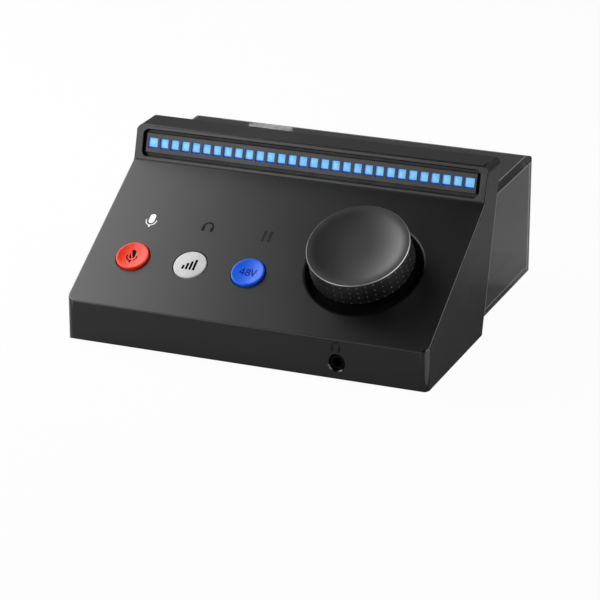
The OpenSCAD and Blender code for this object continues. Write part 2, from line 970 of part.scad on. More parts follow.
module encoder_case() {
    color("#8d8f92")
        in_place()
            dial_place()
                difference() {
                    union() {
                        block(span(0, encoder_w), span(0, encoder_w), [board_top, well_deep]);
                        post(well_deep - shaft_base, bush_top, bush_r);
                    }
                    post(board_top + shaft_base, bush_top + slack, shaft_r + shaft_gap);
                }
}

module encoder_nut() {
    color("#b9bbbd")
        in_place()
            dial_place()
                translate([0, 0, -well_depth])
                    difference() {
                        cylinder(h = nut_t, r = nut_r, $fn = 6);
                        post(-slack, nut_t + slack, bush_r + seat_gap);
                    }
}

// The flat of a shaft of radius r, on the side away from the front
module shaft_round(z0, z1, r, flat) {
    difference() {
        post(z0, z1, r);
        block([-2 * r, 2 * r], [flat, 2 * r], [flat_from, z1 + slack]);
    }
}

module encoder_shaft() {
    color("#b9bbbd")
        in_place()
            dial_place()
                shaft_round(board_top + shaft_base + clear, shaft_top, shaft_r, shaft_flat);
}

// The ring that fingers turn, with its web and the hub on the shaft
module dial_grip() {
    color("#131314")
        in_place()
            dial_place()
                difference() {
                    union() {
                        rotate_extrude()
                            polygon([
                                [grip_r - grip_wall, grip_lift], [grip_r, grip_lift],
                                [dial_r, dial_h - cap_rim_t], [cap_seat_r + seat_gap, dial_h - cap_rim_t],
                                [cap_seat_r + seat_gap, cap_under], [0, cap_under], [0, grip_floor],
                                [grip_r - grip_wall, grip_floor]
                            ]);
                        post(hub_bottom, grip_floor + grip_web / 2, hub_r);
                    }
                    shaft_round(
                        hub_bottom - slack, shaft_top + seat_gap,
                        shaft_r + shaft_gap, shaft_flat + shaft_gap);
                }
}

// The dished top with its cut rim, let into the grip
module dial_cap() {
    color("#2c2c2e")
        in_place()
            dial_place()
                rotate_extrude()
                    difference() {
                        dial_cap_blank();
                        intersection() {
                            translate([0, cap_under])
                                square([cap_lip_x, dial_h]);
                            translate([0, dish_z])
                                circle(r = dish_r, $fn = dish_steps);
                        }
                        difference() {
                            translate([dish_end, dial_h - cap_lip_r])
                                square([cap_edge_r - dish_end, cap_lip_r + slack]);
                            translate([cap_lip_x, dial_h - cap_lip_r])
                                circle(r = cap_lip_r);
                        }
                    }
}

// Half outline of the dial's top before its dish is cut
module dial_cap_blank() {
    rim = dial_h - cap_rim_t;
    translate([0, cap_under])
        square([cap_seat_r, dial_h - cap_under]);
    polygon([
        [0, rim], [dial_r, rim], [dial_r, cap_edge_z - cap_edge], [cap_edge_r, cap_edge_z],
        [cap_edge_r, dial_h], [0, dial_h]]);
}

module headphone_jack() {
    color("#18181a")
        in_place()
            difference() {
                union() {
                    block(
                        span(jack_x, jack_body[0]),
                        [wall + clear, wall + clear + jack_body[1]],
                        span(jack_z, 2 * jack_body_r));
                    rod_y(jack_x, jack_z, jack_nose_set, wall + 2 * clear, jack_body_r);
                }
                rod_y(jack_x, jack_z, jack_nose_set - slack, jack_ring_back + jack_bore_len, jack_bore_r);
                rod_y(jack_x, jack_z, jack_nose_set - slack, jack_ring_back, jack_ring_r);
            }
}

module jack_ring() {
    color("#c9cacc")
        in_place()
            difference() {
                rod_y(jack_x, jack_z, jack_nose_set, jack_ring_back, jack_ring_r - thread_gap);
                rod_y(jack_x, jack_z, jack_nose_set - slack, jack_ring_back + slack, jack_ring_bore);
            }
}

module jack_board() {
    color("#12331f")
        in_place()
            difference() {
                block(
                    span(jack_x, jack_board_w),
                    [jack_board_front, jack_board_back],
                    [jack_board_lo, jack_board_top]);
                for (x = [-jack_screw_x, jack_screw_x])
                    translate([jack_x + x, jack_screw_y, 0])
                        post(jack_board_lo - slack, jack_board_top + slack, jack_screw_r + pass_gap);
            }
}

module main_board() {
    color("#12331f")
        in_place()
            difference() {
                block(span(0, main_w), [main_front, main_back], [main_lo, main_top]);
                main_post_places()
                    post(main_lo - slack, main_top + slack, pass_r);
            }
}

module main_chips() {
    color("#1a1a1c")
        in_place()
            for (i = [0 : len(chip_sizes) - 1])
                translate([chip_x[i], chip_y[i], main_top + chip_sizes[i][2] / 2])
                    cube(chip_sizes[i], center = true);
}

module main_capacitors() {
    color("#9a9ca0")
        in_place()
            for (i = [0 : len(can_x) - 1])
                translate([can_x[i], can_y[i], 0])
                    post(main_top, main_top + can_h, can_r);
}

module combo_shell() {
    color("#1a1a1c")
        in_place()
            difference() {
                union() {
                    backwards(rear_panel_back, combo_face)
                        translate([combo_x, combo_z])
                            rounded_rect(combo_flange[0], combo_flange[1], combo_flange_r);
                    rod_y(combo_x, combo_z, combo_back, rear_panel_back + slack, combo_barrel_r);
                }
                rod_y(combo_x, combo_z, combo_mouth_end, combo_face + slack, combo_mouth_r);
                rod_y(combo_x, combo_z, combo_insert_back, combo_face, combo_insert_r + thread_gap);
                combo_screw_places() {
                    rod_y(0, 0, rear_panel_back - slack, combo_face + slack, pass_r);
                    rod_y(0, 0, combo_face - head_seat, combo_face + slack, screw_head_r + seat_gap);
                }
            }
}

module combo_insert() {
    color("#29292c")
        in_place()
            difference() {
                rod_y(combo_x, combo_z, combo_insert_back, combo_insert_face, combo_insert_r);
                rod_y(combo_x, combo_z, combo_bore_end, combo_insert_face + slack, trs_bore_r);
                for (a = [90, 210, 330])
                    translate([combo_x, 0, combo_z] + combo_pin_at * [cos(a), 0, sin(a)])
                        rod_y(0, 0, combo_pin_end, combo_insert_face + slack, combo_pin_r);
            }
}

module line_out(x) {
    color("#1a1a1c")
        in_place()
            difference() {
                union() {
                    block(
                        span(x, line_body[0]),
                        [rear_panel_front - line_body[1], rear_panel_front],
                        [main_top, main_top + line_body[2]]);
                    rod_y(x, line_axis, rear_panel_front - slack, total_depth, line_nose_r);
                }
                rod_y(x, line_axis, total_depth - line_bore_len, total_depth + slack, trs_bore_r);
            }
}

module line_out_left() {
    line_out(line_places[0]);
}

module line_out_right() {
    line_out(line_places[1]);
}

module line_out_nuts() {
    color("#b9bbbd")
        in_place()
            for (x = line_places)
                translate([x, rear_panel_back, line_axis])
                    rotate([-90, 0, 0])
                        difference() {
                            cylinder(h = line_nut_t, r = line_nut_r, $fn = 6);
                            post(-slack, line_nut_t + slack, line_nose_r + seat_gap);
                        }
}

// Stadium outline of the data socket, grown by a margin
module usb_outline(margin) {
    w = usb_shell[0] + 2 * margin;
    h = usb_shell[1] + 2 * margin;
    square([w - h, h], center = true);
    for (k = [-1, 1])
        translate([k * (w - h) / 2, 0])
            circle(d = h);
}

module usb_socket() {
    color("#c9cacc")
        in_place()
            difference() {
                backwards(usb_face - usb_len, usb_face)
                    translate([usb_x, usb_axis])
                        usb_outline(0);
                backwards(usb_face - usb_len + usb_back_wall, usb_face + slack)
                    translate([usb_x, usb_axis])
                        usb_outline(-usb_wall);
            }
}

module usb_tongue() {
    color("#18181a")
        in_place()
            translate([usb_x, usb_face - usb_len + usb_back_wall + usb_tongue[2] / 2, usb_axis])
                cube([usb_tongue[0], usb_tongue[2], usb_tongue[1]], center = true);
}

// A flat ribbon of width w along a curve of four control points
module ribbon(x, w, p) {
    line = [for (i = [0 : ribbon_steps]) bezier(p, i / ribbon_steps)];
    side = [for (i = [0 : ribbon_steps])
        let (d = bezier_way(p, i / ribbon_steps)) [d[1], -d[0]] * ribbon_t / 2];
    translate([x, 0, 0])
        across(w)
            polygon(concat(
                [for (i = [0 : ribbon_steps]) line[i] + side[i]],
                [for (i = [0 : ribbon_steps]) line[ribbon_steps - i] - side[ribbon_steps - i]]));
}

module main_ribbon() {
    color("#d9d9d4")
        in_place() {
            a = slope_point(main_ribbon_s, board_under - ribbon_socket[1] / 2);
            b = [main_ribbon_y, main_top + ribbon_socket[1] / 2];
            ribbon(
                main_ribbon_x, ribbon_w,
                [a, a + main_ribbon_pull * slope_way, b - [main_ribbon_pull, 0], b]);
        }
}

module led_ribbon() {
    color("#d9d9d4")
        in_place() {
            a = slope_point(led_ribbon_s, board_top + ribbon_socket[1] / 2);
            b = ridge_point(led_ribbon_t, led_board_back + ribbon_socket[1] / 2);
            p = [a, a + led_ribbon_pull * slope_way, b - led_ribbon_pull * ridge_way, b];
            ribbon(led_ribbon_x, small_ribbon_w, p);
        }
}

module jack_ribbon() {
    color("#d9d9d4")
        in_place() {
            a = slope_point(jack_ribbon_s, board_under - ribbon_socket[1] / 2);
            b = [jack_ribbon_y, jack_board_top + ribbon_socket[1] / 2];
            p = [a, a + jack_ribbon_pull * slope_way, b + [jack_ribbon_pull, 0], b];
            ribbon(jack_x, small_ribbon_w, p);
        }
}

// A socket on a board at height z, on its upper side (1) or under side (-1)
module ribbon_socket_on(x, w, y, z, side) {
    block(span(x, w), span(y, ribbon_socket[0]), span(z + side * ribbon_socket[1] / 2, ribbon_socket[1]));
}

module ribbon_sockets() {
    half = ribbon_socket[0] / 2;
    color("#e3ddcb")
        in_place() {
            on_slope() {
                ribbon_socket_on(main_ribbon_x, ribbon_w, main_ribbon_s - half, board_under, -1);
                ribbon_socket_on(led_ribbon_x, small_ribbon_w, led_ribbon_s - half, board_top, 1);
                ribbon_socket_on(jack_x, small_ribbon_w, jack_ribbon_s - half, board_under, -1);
            }
            on_ridge()
                ribbon_socket_on(led_ribbon_x, small_ribbon_w, led_ribbon_t + half, -led_board_back, -1);
            ribbon_socket_on(main_ribbon_x, ribbon_w, main_ribbon_y + half, main_top, 1);
            ribbon_socket_on(jack_x, small_ribbon_w, jack_ribbon_y - half, jack_board_top, 1);
        }
}

module base_screws() {
    color("#9a9ca0")
        in_place()
            base_post_places()
                translate([0, 0, head_seat])
                    rotate([180, 0, 0])
                        screw(plate_t + pilot_depth - head_seat - clear);
}

module control_screws() {
    color("#9a9ca0")
        in_place()
            on_slope()
                control_post_places()
                    translate([0, 0, board_under])
                        rotate([180, 0, 0])
                            screw(board_t + pilot_depth - clear);
}

module cover_screws() {
    color("#9a9ca0")
        in_place()
            on_back()
                cover_post_places()
                    translate([0, 0, -wall])
                        rotate([180, 0, 0])
                            screw(wall + pilot_depth - clear);
}

module main_board_screws() {
    color("#9a9ca0")
        in_place()
            main_post_places()
                translate([0, 0, main_top])
                    screw(board_t + standoff_h);
}

module rear_panel_screws() {
    color("#9a9ca0")
        in_place()
            panel_screw_places()
                translate([0, total_depth - head_seat, 0])
                    rotate([-90, 0, 0])
                        screw(cover_wall + rear_panel_t - head_seat + slack);
}

module combo_screws() {
    color("#9a9ca0")
        in_place()
            combo_screw_places()
                translate([0, combo_face - head_seat, 0])
                    rotate([-90, 0, 0])
                        screw(combo_flange[2] + rear_panel_t - head_seat + slack);
}

module jack_board_screws() {
    color("#9a9ca0")
        in_place()
            for (x = [-jack_screw_x, jack_screw_x])
                translate([jack_x + x, jack_screw_y, jack_board_top])
                    union() {
                        post(0, jack_screw_head[1], jack_screw_head[0]);
                        post(-thin_board_t - plate_t / 2, 0, jack_screw_r);
                    }
}

module front_feet() {
    color("#101011")
        in_place()
            for (x = [-front_foot_x, front_foot_x])
                translate([x, front_foot_y, 0])
                    post(-foot_h, foot_recess, front_foot_r);
}

module rear_feet() {
    color("#101011")
        in_place()
            for (x = [-rear_foot_x, rear_foot_x])
                translate([x, rear_foot_y, 0])
                    post(-foot_h, cover_floor, rear_foot_r);
}

front_shell();
base_plate();
rear_cover();
rear_panel();
led_panel();
led_lenses();
led_board();
led_chips();
control_board();
mute_switch();
level_switch();
phantom_switch();
icon_light_guides();
icon_leds();
encoder_case();
encoder_nut();
encoder_shaft();
dial_grip();
dial_cap();
mute_cap();
level_cap();
phantom_cap();
mute_plunger();
level_plunger();
phantom_plunger();
headphone_jack();
jack_ring();
jack_board();
main_board();
main_chips();
main_capacitors();
combo_shell();
combo_insert();
line_out_left();
line_out_right();
line_out_nuts();
usb_socket();
usb_tongue();
main_ribbon();
led_ribbon();
jack_ribbon();
ribbon_sockets();
base_screws();
control_screws();
cover_screws();
main_board_screws();
rear_panel_screws();
combo_screws();
jack_board_screws();
front_feet();
rear_feet();
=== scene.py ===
import bmesh
import bpy
import math
from mathutils import Matrix, Vector


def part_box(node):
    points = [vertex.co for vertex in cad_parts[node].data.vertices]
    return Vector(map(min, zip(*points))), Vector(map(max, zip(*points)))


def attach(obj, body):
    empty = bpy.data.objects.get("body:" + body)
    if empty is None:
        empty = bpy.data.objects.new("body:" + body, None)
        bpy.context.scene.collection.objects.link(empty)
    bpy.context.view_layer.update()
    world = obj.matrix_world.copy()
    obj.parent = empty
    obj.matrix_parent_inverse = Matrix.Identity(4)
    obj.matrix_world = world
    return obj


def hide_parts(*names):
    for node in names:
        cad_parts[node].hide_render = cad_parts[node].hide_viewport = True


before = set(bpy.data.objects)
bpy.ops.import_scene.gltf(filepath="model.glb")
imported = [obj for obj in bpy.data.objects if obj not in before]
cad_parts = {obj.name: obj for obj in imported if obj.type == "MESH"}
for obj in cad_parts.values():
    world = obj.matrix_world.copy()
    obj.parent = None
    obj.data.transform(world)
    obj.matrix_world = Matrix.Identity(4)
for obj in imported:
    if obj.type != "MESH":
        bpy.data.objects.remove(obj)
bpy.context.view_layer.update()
scene = bpy.context.scene
mm = 0.001
nearMm = 0.02  # a point this near to a face counts as on it
print("frame loaded:", len(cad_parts), "nodes")

# the wedge's own sizes in mm, as the solids have them
wedge = {
    "width": 150.0, "depth": 127.0, "footHeight": 1.2, "frontHeight": 16.2,
    "slopeLength": 74.8, "slopeAngle": 30.7, "ridgeAngle": 73.2,
}


def bodyFrame():
    return Matrix.Translation((0, -wedge["depth"] / 2, wedge["footHeight"]))


def slopeFrame(x=0, s=0, h=0):  # across, up the slope, out of it
    tilt = Matrix.Rotation(math.radians(wedge["slopeAngle"]), 4, "X")
    lift = Matrix.Translation((0, 0, wedge["frontHeight"]))
    return bodyFrame() @ lift @ tilt @ Matrix.Translation((x, s, h))


def ridgeFrame():  # across, up the ridge, out of it
    foot = slopeFrame(0, wedge["slopeLength"]).translation
    return Matrix.Translation(foot) @ Matrix.Rotation(math.radians(wedge["ridgeAngle"]), 4, "X")


def frontFrame(x, z):  # across, up, out of the front wall
    return bodyFrame() @ Matrix.Rotation(math.pi / 2, 4, "X") @ Matrix.Translation((x, z, 0))


faceBack = Matrix.Rotation(math.pi, 4, "Z") @ Matrix.Rotation(math.pi / 2, 4, "X")
faceDown = Matrix.Rotation(math.pi, 4, "X")


# camera: a long lens from the front right, a little above
lens = {  # mm and degrees, and the clip in metres
    "target": (9.482, -28.5, 16.889), "yaw": 22.051, "pitch": 20.922, "distance": 1152.27,
    "focal": 176.948, "sensor": 36, "clip": (0.05, 20),
}


def makeCamera():
    yaw, pitch = math.radians(lens["yaw"]), math.radians(lens["pitch"])
    back = Vector((math.sin(yaw) * math.cos(pitch), -math.cos(yaw) * math.cos(pitch), math.sin(pitch)))
    data = bpy.data.cameras.new("camera")
    data.lens = lens["focal"]
    data.sensor_width = lens["sensor"]
    data.clip_start, data.clip_end = lens["clip"]
    camera = bpy.data.objects.new("camera", data)
    camera.location = (Vector(lens["target"]) + back * lens["distance"]) * mm
    camera.rotation_mode = "QUATERNION"
    camera.rotation_quaternion = (-back).to_track_quat("-Z", "Y")
    scene.collection.objects.link(camera)
    scene.camera = camera


makeCamera()
scene.view_settings.view_transform = "Standard"
print("camera set")


# small helpers for materials and meshes

def srgb(text):
    parts = [int(text[i:i + 2], 16) / 255 for i in (1, 3, 5)]
    return [p / 12.92 if p <= 0.04045 else ((p + 0.055) / 1.055) ** 2.4 for p in parts] + [1.0]


def feed(tree, node, inputs):  # links a socket or a node's first output, and sets any other value
    for key, value in inputs.items():
        if isinstance(value, bpy.types.Node):
            value = value.outputs[0]
        if isinstance(value, bpy.types.NodeSocket):
            tree.links.new(value, node.inputs[key])
        else:
            node.inputs[key].default_value = value


def addNode(tree, kind, inputs=None, tones=(), **settings):
    node = tree.nodes.new(kind)
    for name, value in settings.items():
        setattr(node, name, value)
    for stop, (at, colour) in enumerate(tones):  # places and colours on a ramp
        node.color_ramp.elements[stop].position = at
        node.color_ramp.elements[stop].color = srgb(colour)
    feed(tree, node, inputs or {})
    return node


def newMaterial(name):
    material = bpy.data.materials.new(name)
    material.use_nodes = True
    tree = material.node_tree
    tree.nodes.clear()
    shader = addNode(tree, "ShaderNodeBsdfPrincipled")
    addNode(tree, "ShaderNodeOutputMaterial", {"Surface": shader})
    place = addNode(tree, "ShaderNodeTexCoord").outputs["Object"]
    return material, tree, shader, place


def perMetre(sizeMm):  # texture scale that gives cells of this size
    return 1.0 / (sizeMm * mm)


noiseSpan = (0.3, 0.7)  # noise seldom leaves this range


def toneAndGloss(tree, shader, pattern, low, high, rough, spread):  # both drift with one pattern
    first, last = noiseSpan
    ramp = addNode(tree, "ShaderNodeValToRGB", {"Fac": pattern}, ((first, low), (last, high)))
    gloss = addNode(tree, "ShaderNodeMapRange", {
        "Value": pattern, "From Min": first, "From Max": last,
        "To Min": rough - spread, "To Max": rough + spread})
    feed(tree, shader, {"Base Color": ramp, "Roughness": gloss})
    return ramp


def tintedPlastic(name, low, high, rough, spread, cloudMm, grainMm, depthMm, ior=1.53, glow=0.0):
    # tone and gloss drift a little, and a grain breaks the highlight;
    # a real mould's grain is finer than a pixel, so it is drawn as coarse as it needs to show
    material, tree, shader, place = newMaterial(name)
    cloud = addNode(tree, "ShaderNodeTexNoise", {
        "Vector": place, "Scale": perMetre(cloudMm), "Detail": 3.0})
    tone = toneAndGloss(tree, shader, cloud, low, high, rough, spread)
    grain = addNode(tree, "ShaderNodeTexNoise", {
        "Vector": place, "Scale": perMetre(grainMm), "Detail": 2.0})
    bump = addNode(tree, "ShaderNodeBump", {"Height": grain, "Strength": 1.0, "Distance": depthMm * mm})
    feed(tree, shader, {"Normal": bump, "IOR": ior})
    # a glow paints light into the colour; only the cover's light lines have one
    if glow:
        feed(tree, shader, {"Emission Color": tone, "Emission Strength": glow})
    return material


def platedMetal(name, low, high, rough, spread, brushMm, stretch, depthMm):
    # brushing or casting marks run along one axis and vary the gloss
    material, tree, shader, place = newMaterial(name)
    turned = addNode(tree, "ShaderNodeMapping", {"Vector": place, "Scale": stretch})
    marks = addNode(tree, "ShaderNodeTexNoise", {
        "Vector": turned, "Scale": perMetre(brushMm), "Detail": 4.0})
    toneAndGloss(tree, shader, marks, low, high, rough, spread)
    bump = addNode(tree, "ShaderNodeBump", {"Height": marks, "Strength": 1.0, "Distance": depthMm * mm})
    feed(tree, shader, {"Normal": bump, "Metallic": 1.0})
    return material


def smokedPolycarbonate():
    # clear sheet with smoke-grey dye: dark, glossy, and only just clear enough to look into
    material, tree, shader, place = newMaterial("polycarbonate smoked")
    haze = addNode(tree, "ShaderNodeTexNoise", {"Vector": place, "Scale": perMetre(9.0), "Detail": 2.0})
    toneAndGloss(tree, shader, haze, "#54555A", "#5C5D62", 0.08, 0.02)
    feed(tree, shader, {"IOR": 1.5, "Transmission Weight": 1.0})
    return material


def litDiffuser(name, face, edge, strength, faceMm):
    # plastic lit from behind, a little uneven as the lamps behind it are
    material, tree, shader, place = newMaterial(name)
    cloud = addNode(tree, "ShaderNodeTexNoise", {
        "Vector": place, "Scale": perMetre(faceMm), "Detail": 1.0})
    ramp = addNode(tree, "ShaderNodeValToRGB", {"Fac": cloud}, ((0.2, edge), (0.6, face)))
    feed(tree, shader, {
        "Base Color": ramp, "Emission Color": ramp,
        "Emission Strength": strength, "Roughness": 0.35, "IOR": 1.49})
    return material


def clearAcrylic():
    # rods that carry light up to the signs: clear with a faint frost
    material, tree, shader, place = newMaterial("acrylic clear frosted")
    frost = addNode(tree, "ShaderNodeTexNoise", {"Vector": place, "Scale": perMetre(0.6), "Detail": 2.0})
    gloss = addNode(tree, "ShaderNodeMapRange", {"Value": frost, "To Min": 0.2, "To Max": 0.45})
    feed(tree, shader, {
        "Base Color": srgb("#F2F3F3"), "Roughness": gloss, "IOR": 1.49, "Transmission Weight": 0.8})
    return material


def solderMask():
    # varnish over copper, nearly black: tracks show as slightly raised, lighter lanes 1.3 mm apart
    material, tree, shader, place = newMaterial("solder mask black")
    lanes = addNode(tree, "ShaderNodeTexBrick", {
        "Vector": place, "Color1": srgb("#14211B"), "Color2": srgb("#182A21"), "Mortar": srgb("#26392F"),
        "Scale": 1.0, "Mortar Size": 0.16 * mm, "Brick Width": 5.2 * mm, "Row Height": 1.3 * mm})
    bump = addNode(tree, "ShaderNodeBump", {
        "Height": lanes.outputs["Fac"], "Strength": 1.0, "Distance": 0.03 * mm})
    feed(tree, shader, {"Base Color": lanes, "Normal": bump, "Roughness": 0.32, "IOR": 1.55})
    return material


def printedInk(name, low, high, rough, glow=0.0, ior=1.5):
    # screen print: slightly uneven cover at the pitch of the mesh, about 0.15 mm
    material, tree, shader, place = newMaterial(name)
    cover = addNode(tree, "ShaderNodeTexNoise", {"Vector": place, "Scale": perMetre(0.15), "Detail": 1.0})
    ramp = addNode(tree, "ShaderNodeValToRGB", {"Fac": cover}, ((0.25, low), (0.6, high)))
    feed(tree, shader, {"Base Color": ramp, "Roughness": rough, "IOR": ior})
    if glow:
        feed(tree, shader, {"Emission Color": ramp, "Emission Strength": glow})
    return material


plastics = {  # name, two tones, roughness, its spread, cloud and grain size, grain depth in mm, IOR, glow
    # eroded mould: an even satin sheen that fades across the slope
    "shell": ("ABS black spark eroded", "#0D0D0E", "#101011", 0.36, 0.02, 22, 0.35, 0.004, 1.46),
    # the same plastic, polished: draws thin light lines along the edges
    "shellEdge": ("ABS black polished edge", "#0D0D0E", "#101011", 0.17, 0.02, 22, 0.35, 0.001, 1.5),
    # painted shade: near black with little reflection, so the well and the jack read as deep shadow
    "well": ("ABS black matt", "#030303", "#050505", 0.85, 0.04, 8, 0.4, 0.02, 1.14),
    # painted shade: the bar's sides deep in the slot are dull dark grey
    "slot": ("ABS black moulded", "#161618", "#1B1B1D", 0.5, 0.04, 6, 0.3, 0.01, 1.45),
    # painted light: the bands on the cover's edges glow, and draw the light lines that its polished edges
    # would catch
    "smokeLightLines": ("polycarbonate polished edge", "#66676A", "#707174", 0.22, 0.04, 4, 0.3, 0.003,
                  1.5, 0.75),
    # powder coat: dull, with a fine pebble
    "plate": ("steel black powder coat", "#141415", "#18181A", 0.5, 0.05, 6, 0.5, 0.03),
    # matt bar: reads lighter than the shell round it
    "meterBar": ("ABS dark grey matt", "#252527", "#2A2A2C", 0.45, 0.04, 12, 0.3, 0.01),
    # opaque white case of a small lamp
    "ledCase": ("LED case white", "#DAD8D0", "#E6E4DC", 0.35, 0.04, 1.5, 0.2, 0.005),
    # satin case: soft grey highlights
    "switchCase": ("nylon black switch", "#1C1C1E", "#222224", 0.45, 0.05, 3, 0.25, 0.01),
    # dark satin drum: lets the bright points stand out
    "grip": ("ABS black grip", "#0B0B0C", "#0F0F10", 0.42, 0.04, 8, 0.25, 0.01),
    # dyed oxide over metal: a dark bowl with one broad soft highlight
    "dialTop": ("aluminium black anodised satin", "#0D0D0E", "#111112", 0.41, 0.02, 14, 0.12, 0.003, 1.7),
    # satin caps: strong colour with a soft light along the rim
    "red": ("ABS signal red satin", "#F62B00", "#FA3404", 0.34, 0.03, 4, 0.2, 0.004, 1.38),
    "blue": ("ABS deep blue satin", "#0C60F0", "#1268F8", 0.34, 0.03, 4, 0.2, 0.004, 1.38),
    # satin cap: pale grey, so that it never burns out
    "white": ("ABS light grey satin", "#CCCCCC", "#D4D4D4", 0.45, 0.03, 4, 0.2, 0.004),
    # waxy cream: soft highlights
    "nylon": ("nylon cream", "#CFC6AE", "#DAD2BC", 0.5, 0.05, 2, 0.3, 0.01),
    # moulded socket: dull black with a faint sheen
    "socket": ("PBT black moulded", "#141415", "#1A1A1B", 0.42, 0.06, 4, 0.25, 0.008),
    # cast epoxy: dull and flat
    "chip": ("epoxy black chip", "#171718", "#1D1D1E", 0.55, 0.05, 2, 0.15, 0.008),
    # film over copper lanes: pale and smooth
    "ribbon": ("PET flat cable white", "#C9C9C3", "#D8D8D2", 0.4, 0.05, 1.0, 0.5, 0.02),
    # rubber: hardly any highlight
    "rubber": ("silicone rubber black", "#0F0F10", "#151516", 0.72, 0.05, 3, 0.3, 0.03),
}
metals = {  # name, two tones, roughness, its spread, size of the marks, their stretch, depth in mm
    # cast skin: cloudy grey with blurred reflections
    "zinc": ("zinc die cast", "#8A8C90", "#A2A4A8", 0.42, 0.08, 1.2, (1, 1, 1), 0.02),
    # satin plate: pale, with fine turning lines
    "nickel": ("nickel plate satin", "#B8B9BA", "#CFD0D1", 0.26, 0.06, 0.3, (1, 1, 6), 0.004),
    # painted shade: a dark plate on the ring deep in the jack, with one thin glint
    "jackRingShade": ("nickel plate black", "#131315", "#1C1C1E", 0.3, 0.05, 0.3, (1, 1, 1), 0.003),
    # bare points: small cool glints on the skirt
    "gripDot": ("aluminium points bare", "#66686A", "#808284", 0.42, 0.05, 0.2, (1, 1, 1), 0.002),
    # fresh cut: a thin bright rim
    "dialEdge": ("aluminium bright cut", "#8A8C8E", "#A6A8AA", 0.5, 0.04, 0.12, (1, 1, 8), 0.002),
    # drawn can: fine upright lines
    "can": ("aluminium can satin", "#9C9EA1", "#B6B8BB", 0.3, 0.06, 0.2, (1, 1, 0.2), 0.003),
    # dark zinc: dull metal glints
    "screw": ("steel black zinc", "#3A3B3D", "#4E4F52", 0.35, 0.08, 0.3, (1, 1, 1), 0.004),
    # gold: warm glints deep in the sockets
    "gold": ("gold plate contact", "#C79A3F", "#DDB45A", 0.25, 0.05, 0.2, (1, 6, 1), 0.002),
}
inks = {  # name, two tones, roughness, glow, IOR
    # lit from behind: nearly white
    "inkLit": ("ink white backlit", "#E9EAEB", "#FBFCFC", 0.5, 0.25),
    # lit at its edge: a little greyer
    "inkSoft": ("ink white edge lit", "#D6D7D8", "#E2E3E3", 0.5, 0.14),
    # unlit window: darker than the shell
    "inkDim": ("ink smoke unlit", "#08080A", "#0C0C0E", 0.6, 0.0, 1.18),
    # unlit window: only just darker than the shell
    "inkFaint": ("ink smoke faint", "#08080A", "#0C0C0E", 0.5, 0.0, 1.26),
    # black on a coloured cap
    "inkDark": ("ink black", "#040405", "#08080A", 0.6, 0.0, 1.12),
    # dark blue on the blue cap
    "inkNavy": ("ink navy", "#0A1C78", "#0E2288", 0.6, 0.0, 1.12),
}
diffusers = {  # name, tone in the light and out of it, glow, size of the clouds in mm
    # painted light: the grey walls glow in the blue of the lamp behind
    "meterWallBlueLight": ("ABS grey in blue light", "#12409C", "#0E3078", 0.4, 1.5),
    # opal face: light blue and even
    "meterBlue": ("PMMA opal blue lit", "#7CC6F2", "#62B2EC", 0.52, 2.6),
    # painted shade: a deeper blue along the lower strip of each window
    "meterShadedFoot": ("PMMA deep blue lit", "#0A46B8", "#083A9C", 0.5, 2.6),
}

finish = {"smoke": smokedPolycarbonate(), "guide": clearAcrylic(), "board": solderMask()}
kinds = ((tintedPlastic, plastics), (platedMetal, metals), (printedInk, inks), (litDiffuser, diffusers))
for make, rows in kinds:
    finish.update({key: make(*row) for key, row in rows.items()})
print("materials made:", len(finish))


def linkMesh(name, mesh):
    piece = bpy.data.objects.new(name, mesh)
    scene.collection.objects.link(piece)
    return piece


def meshFrom(bm, name, place=None):
    if place is not None:
        bm.transform(Matrix.Scale(mm, 4) @ place)
    mesh = bpy.data.meshes.new(name)
    bm.to_mesh(mesh)
    bm.free()
    return mesh


def smoothByAngle(mesh, degrees):
    mesh.shade_smooth()
    mesh.set_sharp_from_angle(angle=math.radians(degrees))


def placePiece(piece, body, finishes, nodes=()):
    for key in finishes:
        piece.data.materials.append(finish[key])
    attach(piece, body)
    if nodes:
        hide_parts(*nodes)


def addPiece(name, bm, body, finishes, nodes=(), place=None):  # gives back the mesh for its normals
    piece = linkMesh(name, meshFrom(bm, name, place))
    placePiece(piece, body, finishes, nodes)
    return piece.data


def areaNormals(mesh, degrees=32):  # large flat faces keep their own normal, and roundings lean on them
    limit = math.cos(math.radians(degrees))
    around = [[] for _ in mesh.vertices]
    for face in mesh.polygons:
        for corner in face.vertices:
            around[corner].append((face.normal.copy(), face.area))
    normals = [None] * len(mesh.loops)
    for face in mesh.polygons:
        for loop, corner in zip(face.loop_indices, face.vertices):
            total = Vector()
            for normal, area in around[corner]:
                if normal.dot(face.normal) > limit:
                    total += normal * area
            normals[loop] = total.normalized() if total.length > 0 else face.normal.copy()
    mesh.shade_smooth()
    mesh.normals_split_custom_set(normals)


def arc(cx, cz, r, start, end, steps):
    turns = [math.radians(start + (end - start) * i / steps) for i in range(steps + 1)]
    return [(cx + r * math.cos(a), cz + r * math.sin(a)) for a in turns]


def lathe(profile, segments, closed=False):  # turns points of radius and height round the Z axis
    bm = bmesh.new()
    rings = []
    for r, z in profile:
        if r < 1e-6:
            rings.append([bm.verts.new((0, 0, z))] * segments)
        else:
            rings.append([bm.verts.new((r * math.cos(a), r * math.sin(a), z))
                          for a in (2 * math.pi * i / segments for i in range(segments))])
    pairs = list(zip(rings, rings[1:])) + ([(rings[-1], rings[0])] if closed else [])
    for low, high in pairs:
        for i in range(segments):
            j = (i + 1) % segments
            corners = list(dict.fromkeys((low[i], low[j], high[j], high[i])))
            if len(corners) > 2:
                bm.faces.new(corners)
    bmesh.ops.recalc_face_normals(bm, faces=bm.faces)
    return bm


def cadCopy(node):  # a merged copy of a solid, with its flat faces in one piece again
    bm = bmesh.new()
    bm.from_mesh(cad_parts[node].data)
    bmesh.ops.remove_doubles(bm, verts=bm.verts, dist=2e-6)
    bmesh.ops.dissolve_limit(bm, angle_limit=math.radians(0.4), verts=bm.verts, edges=bm.edges)
    return bm


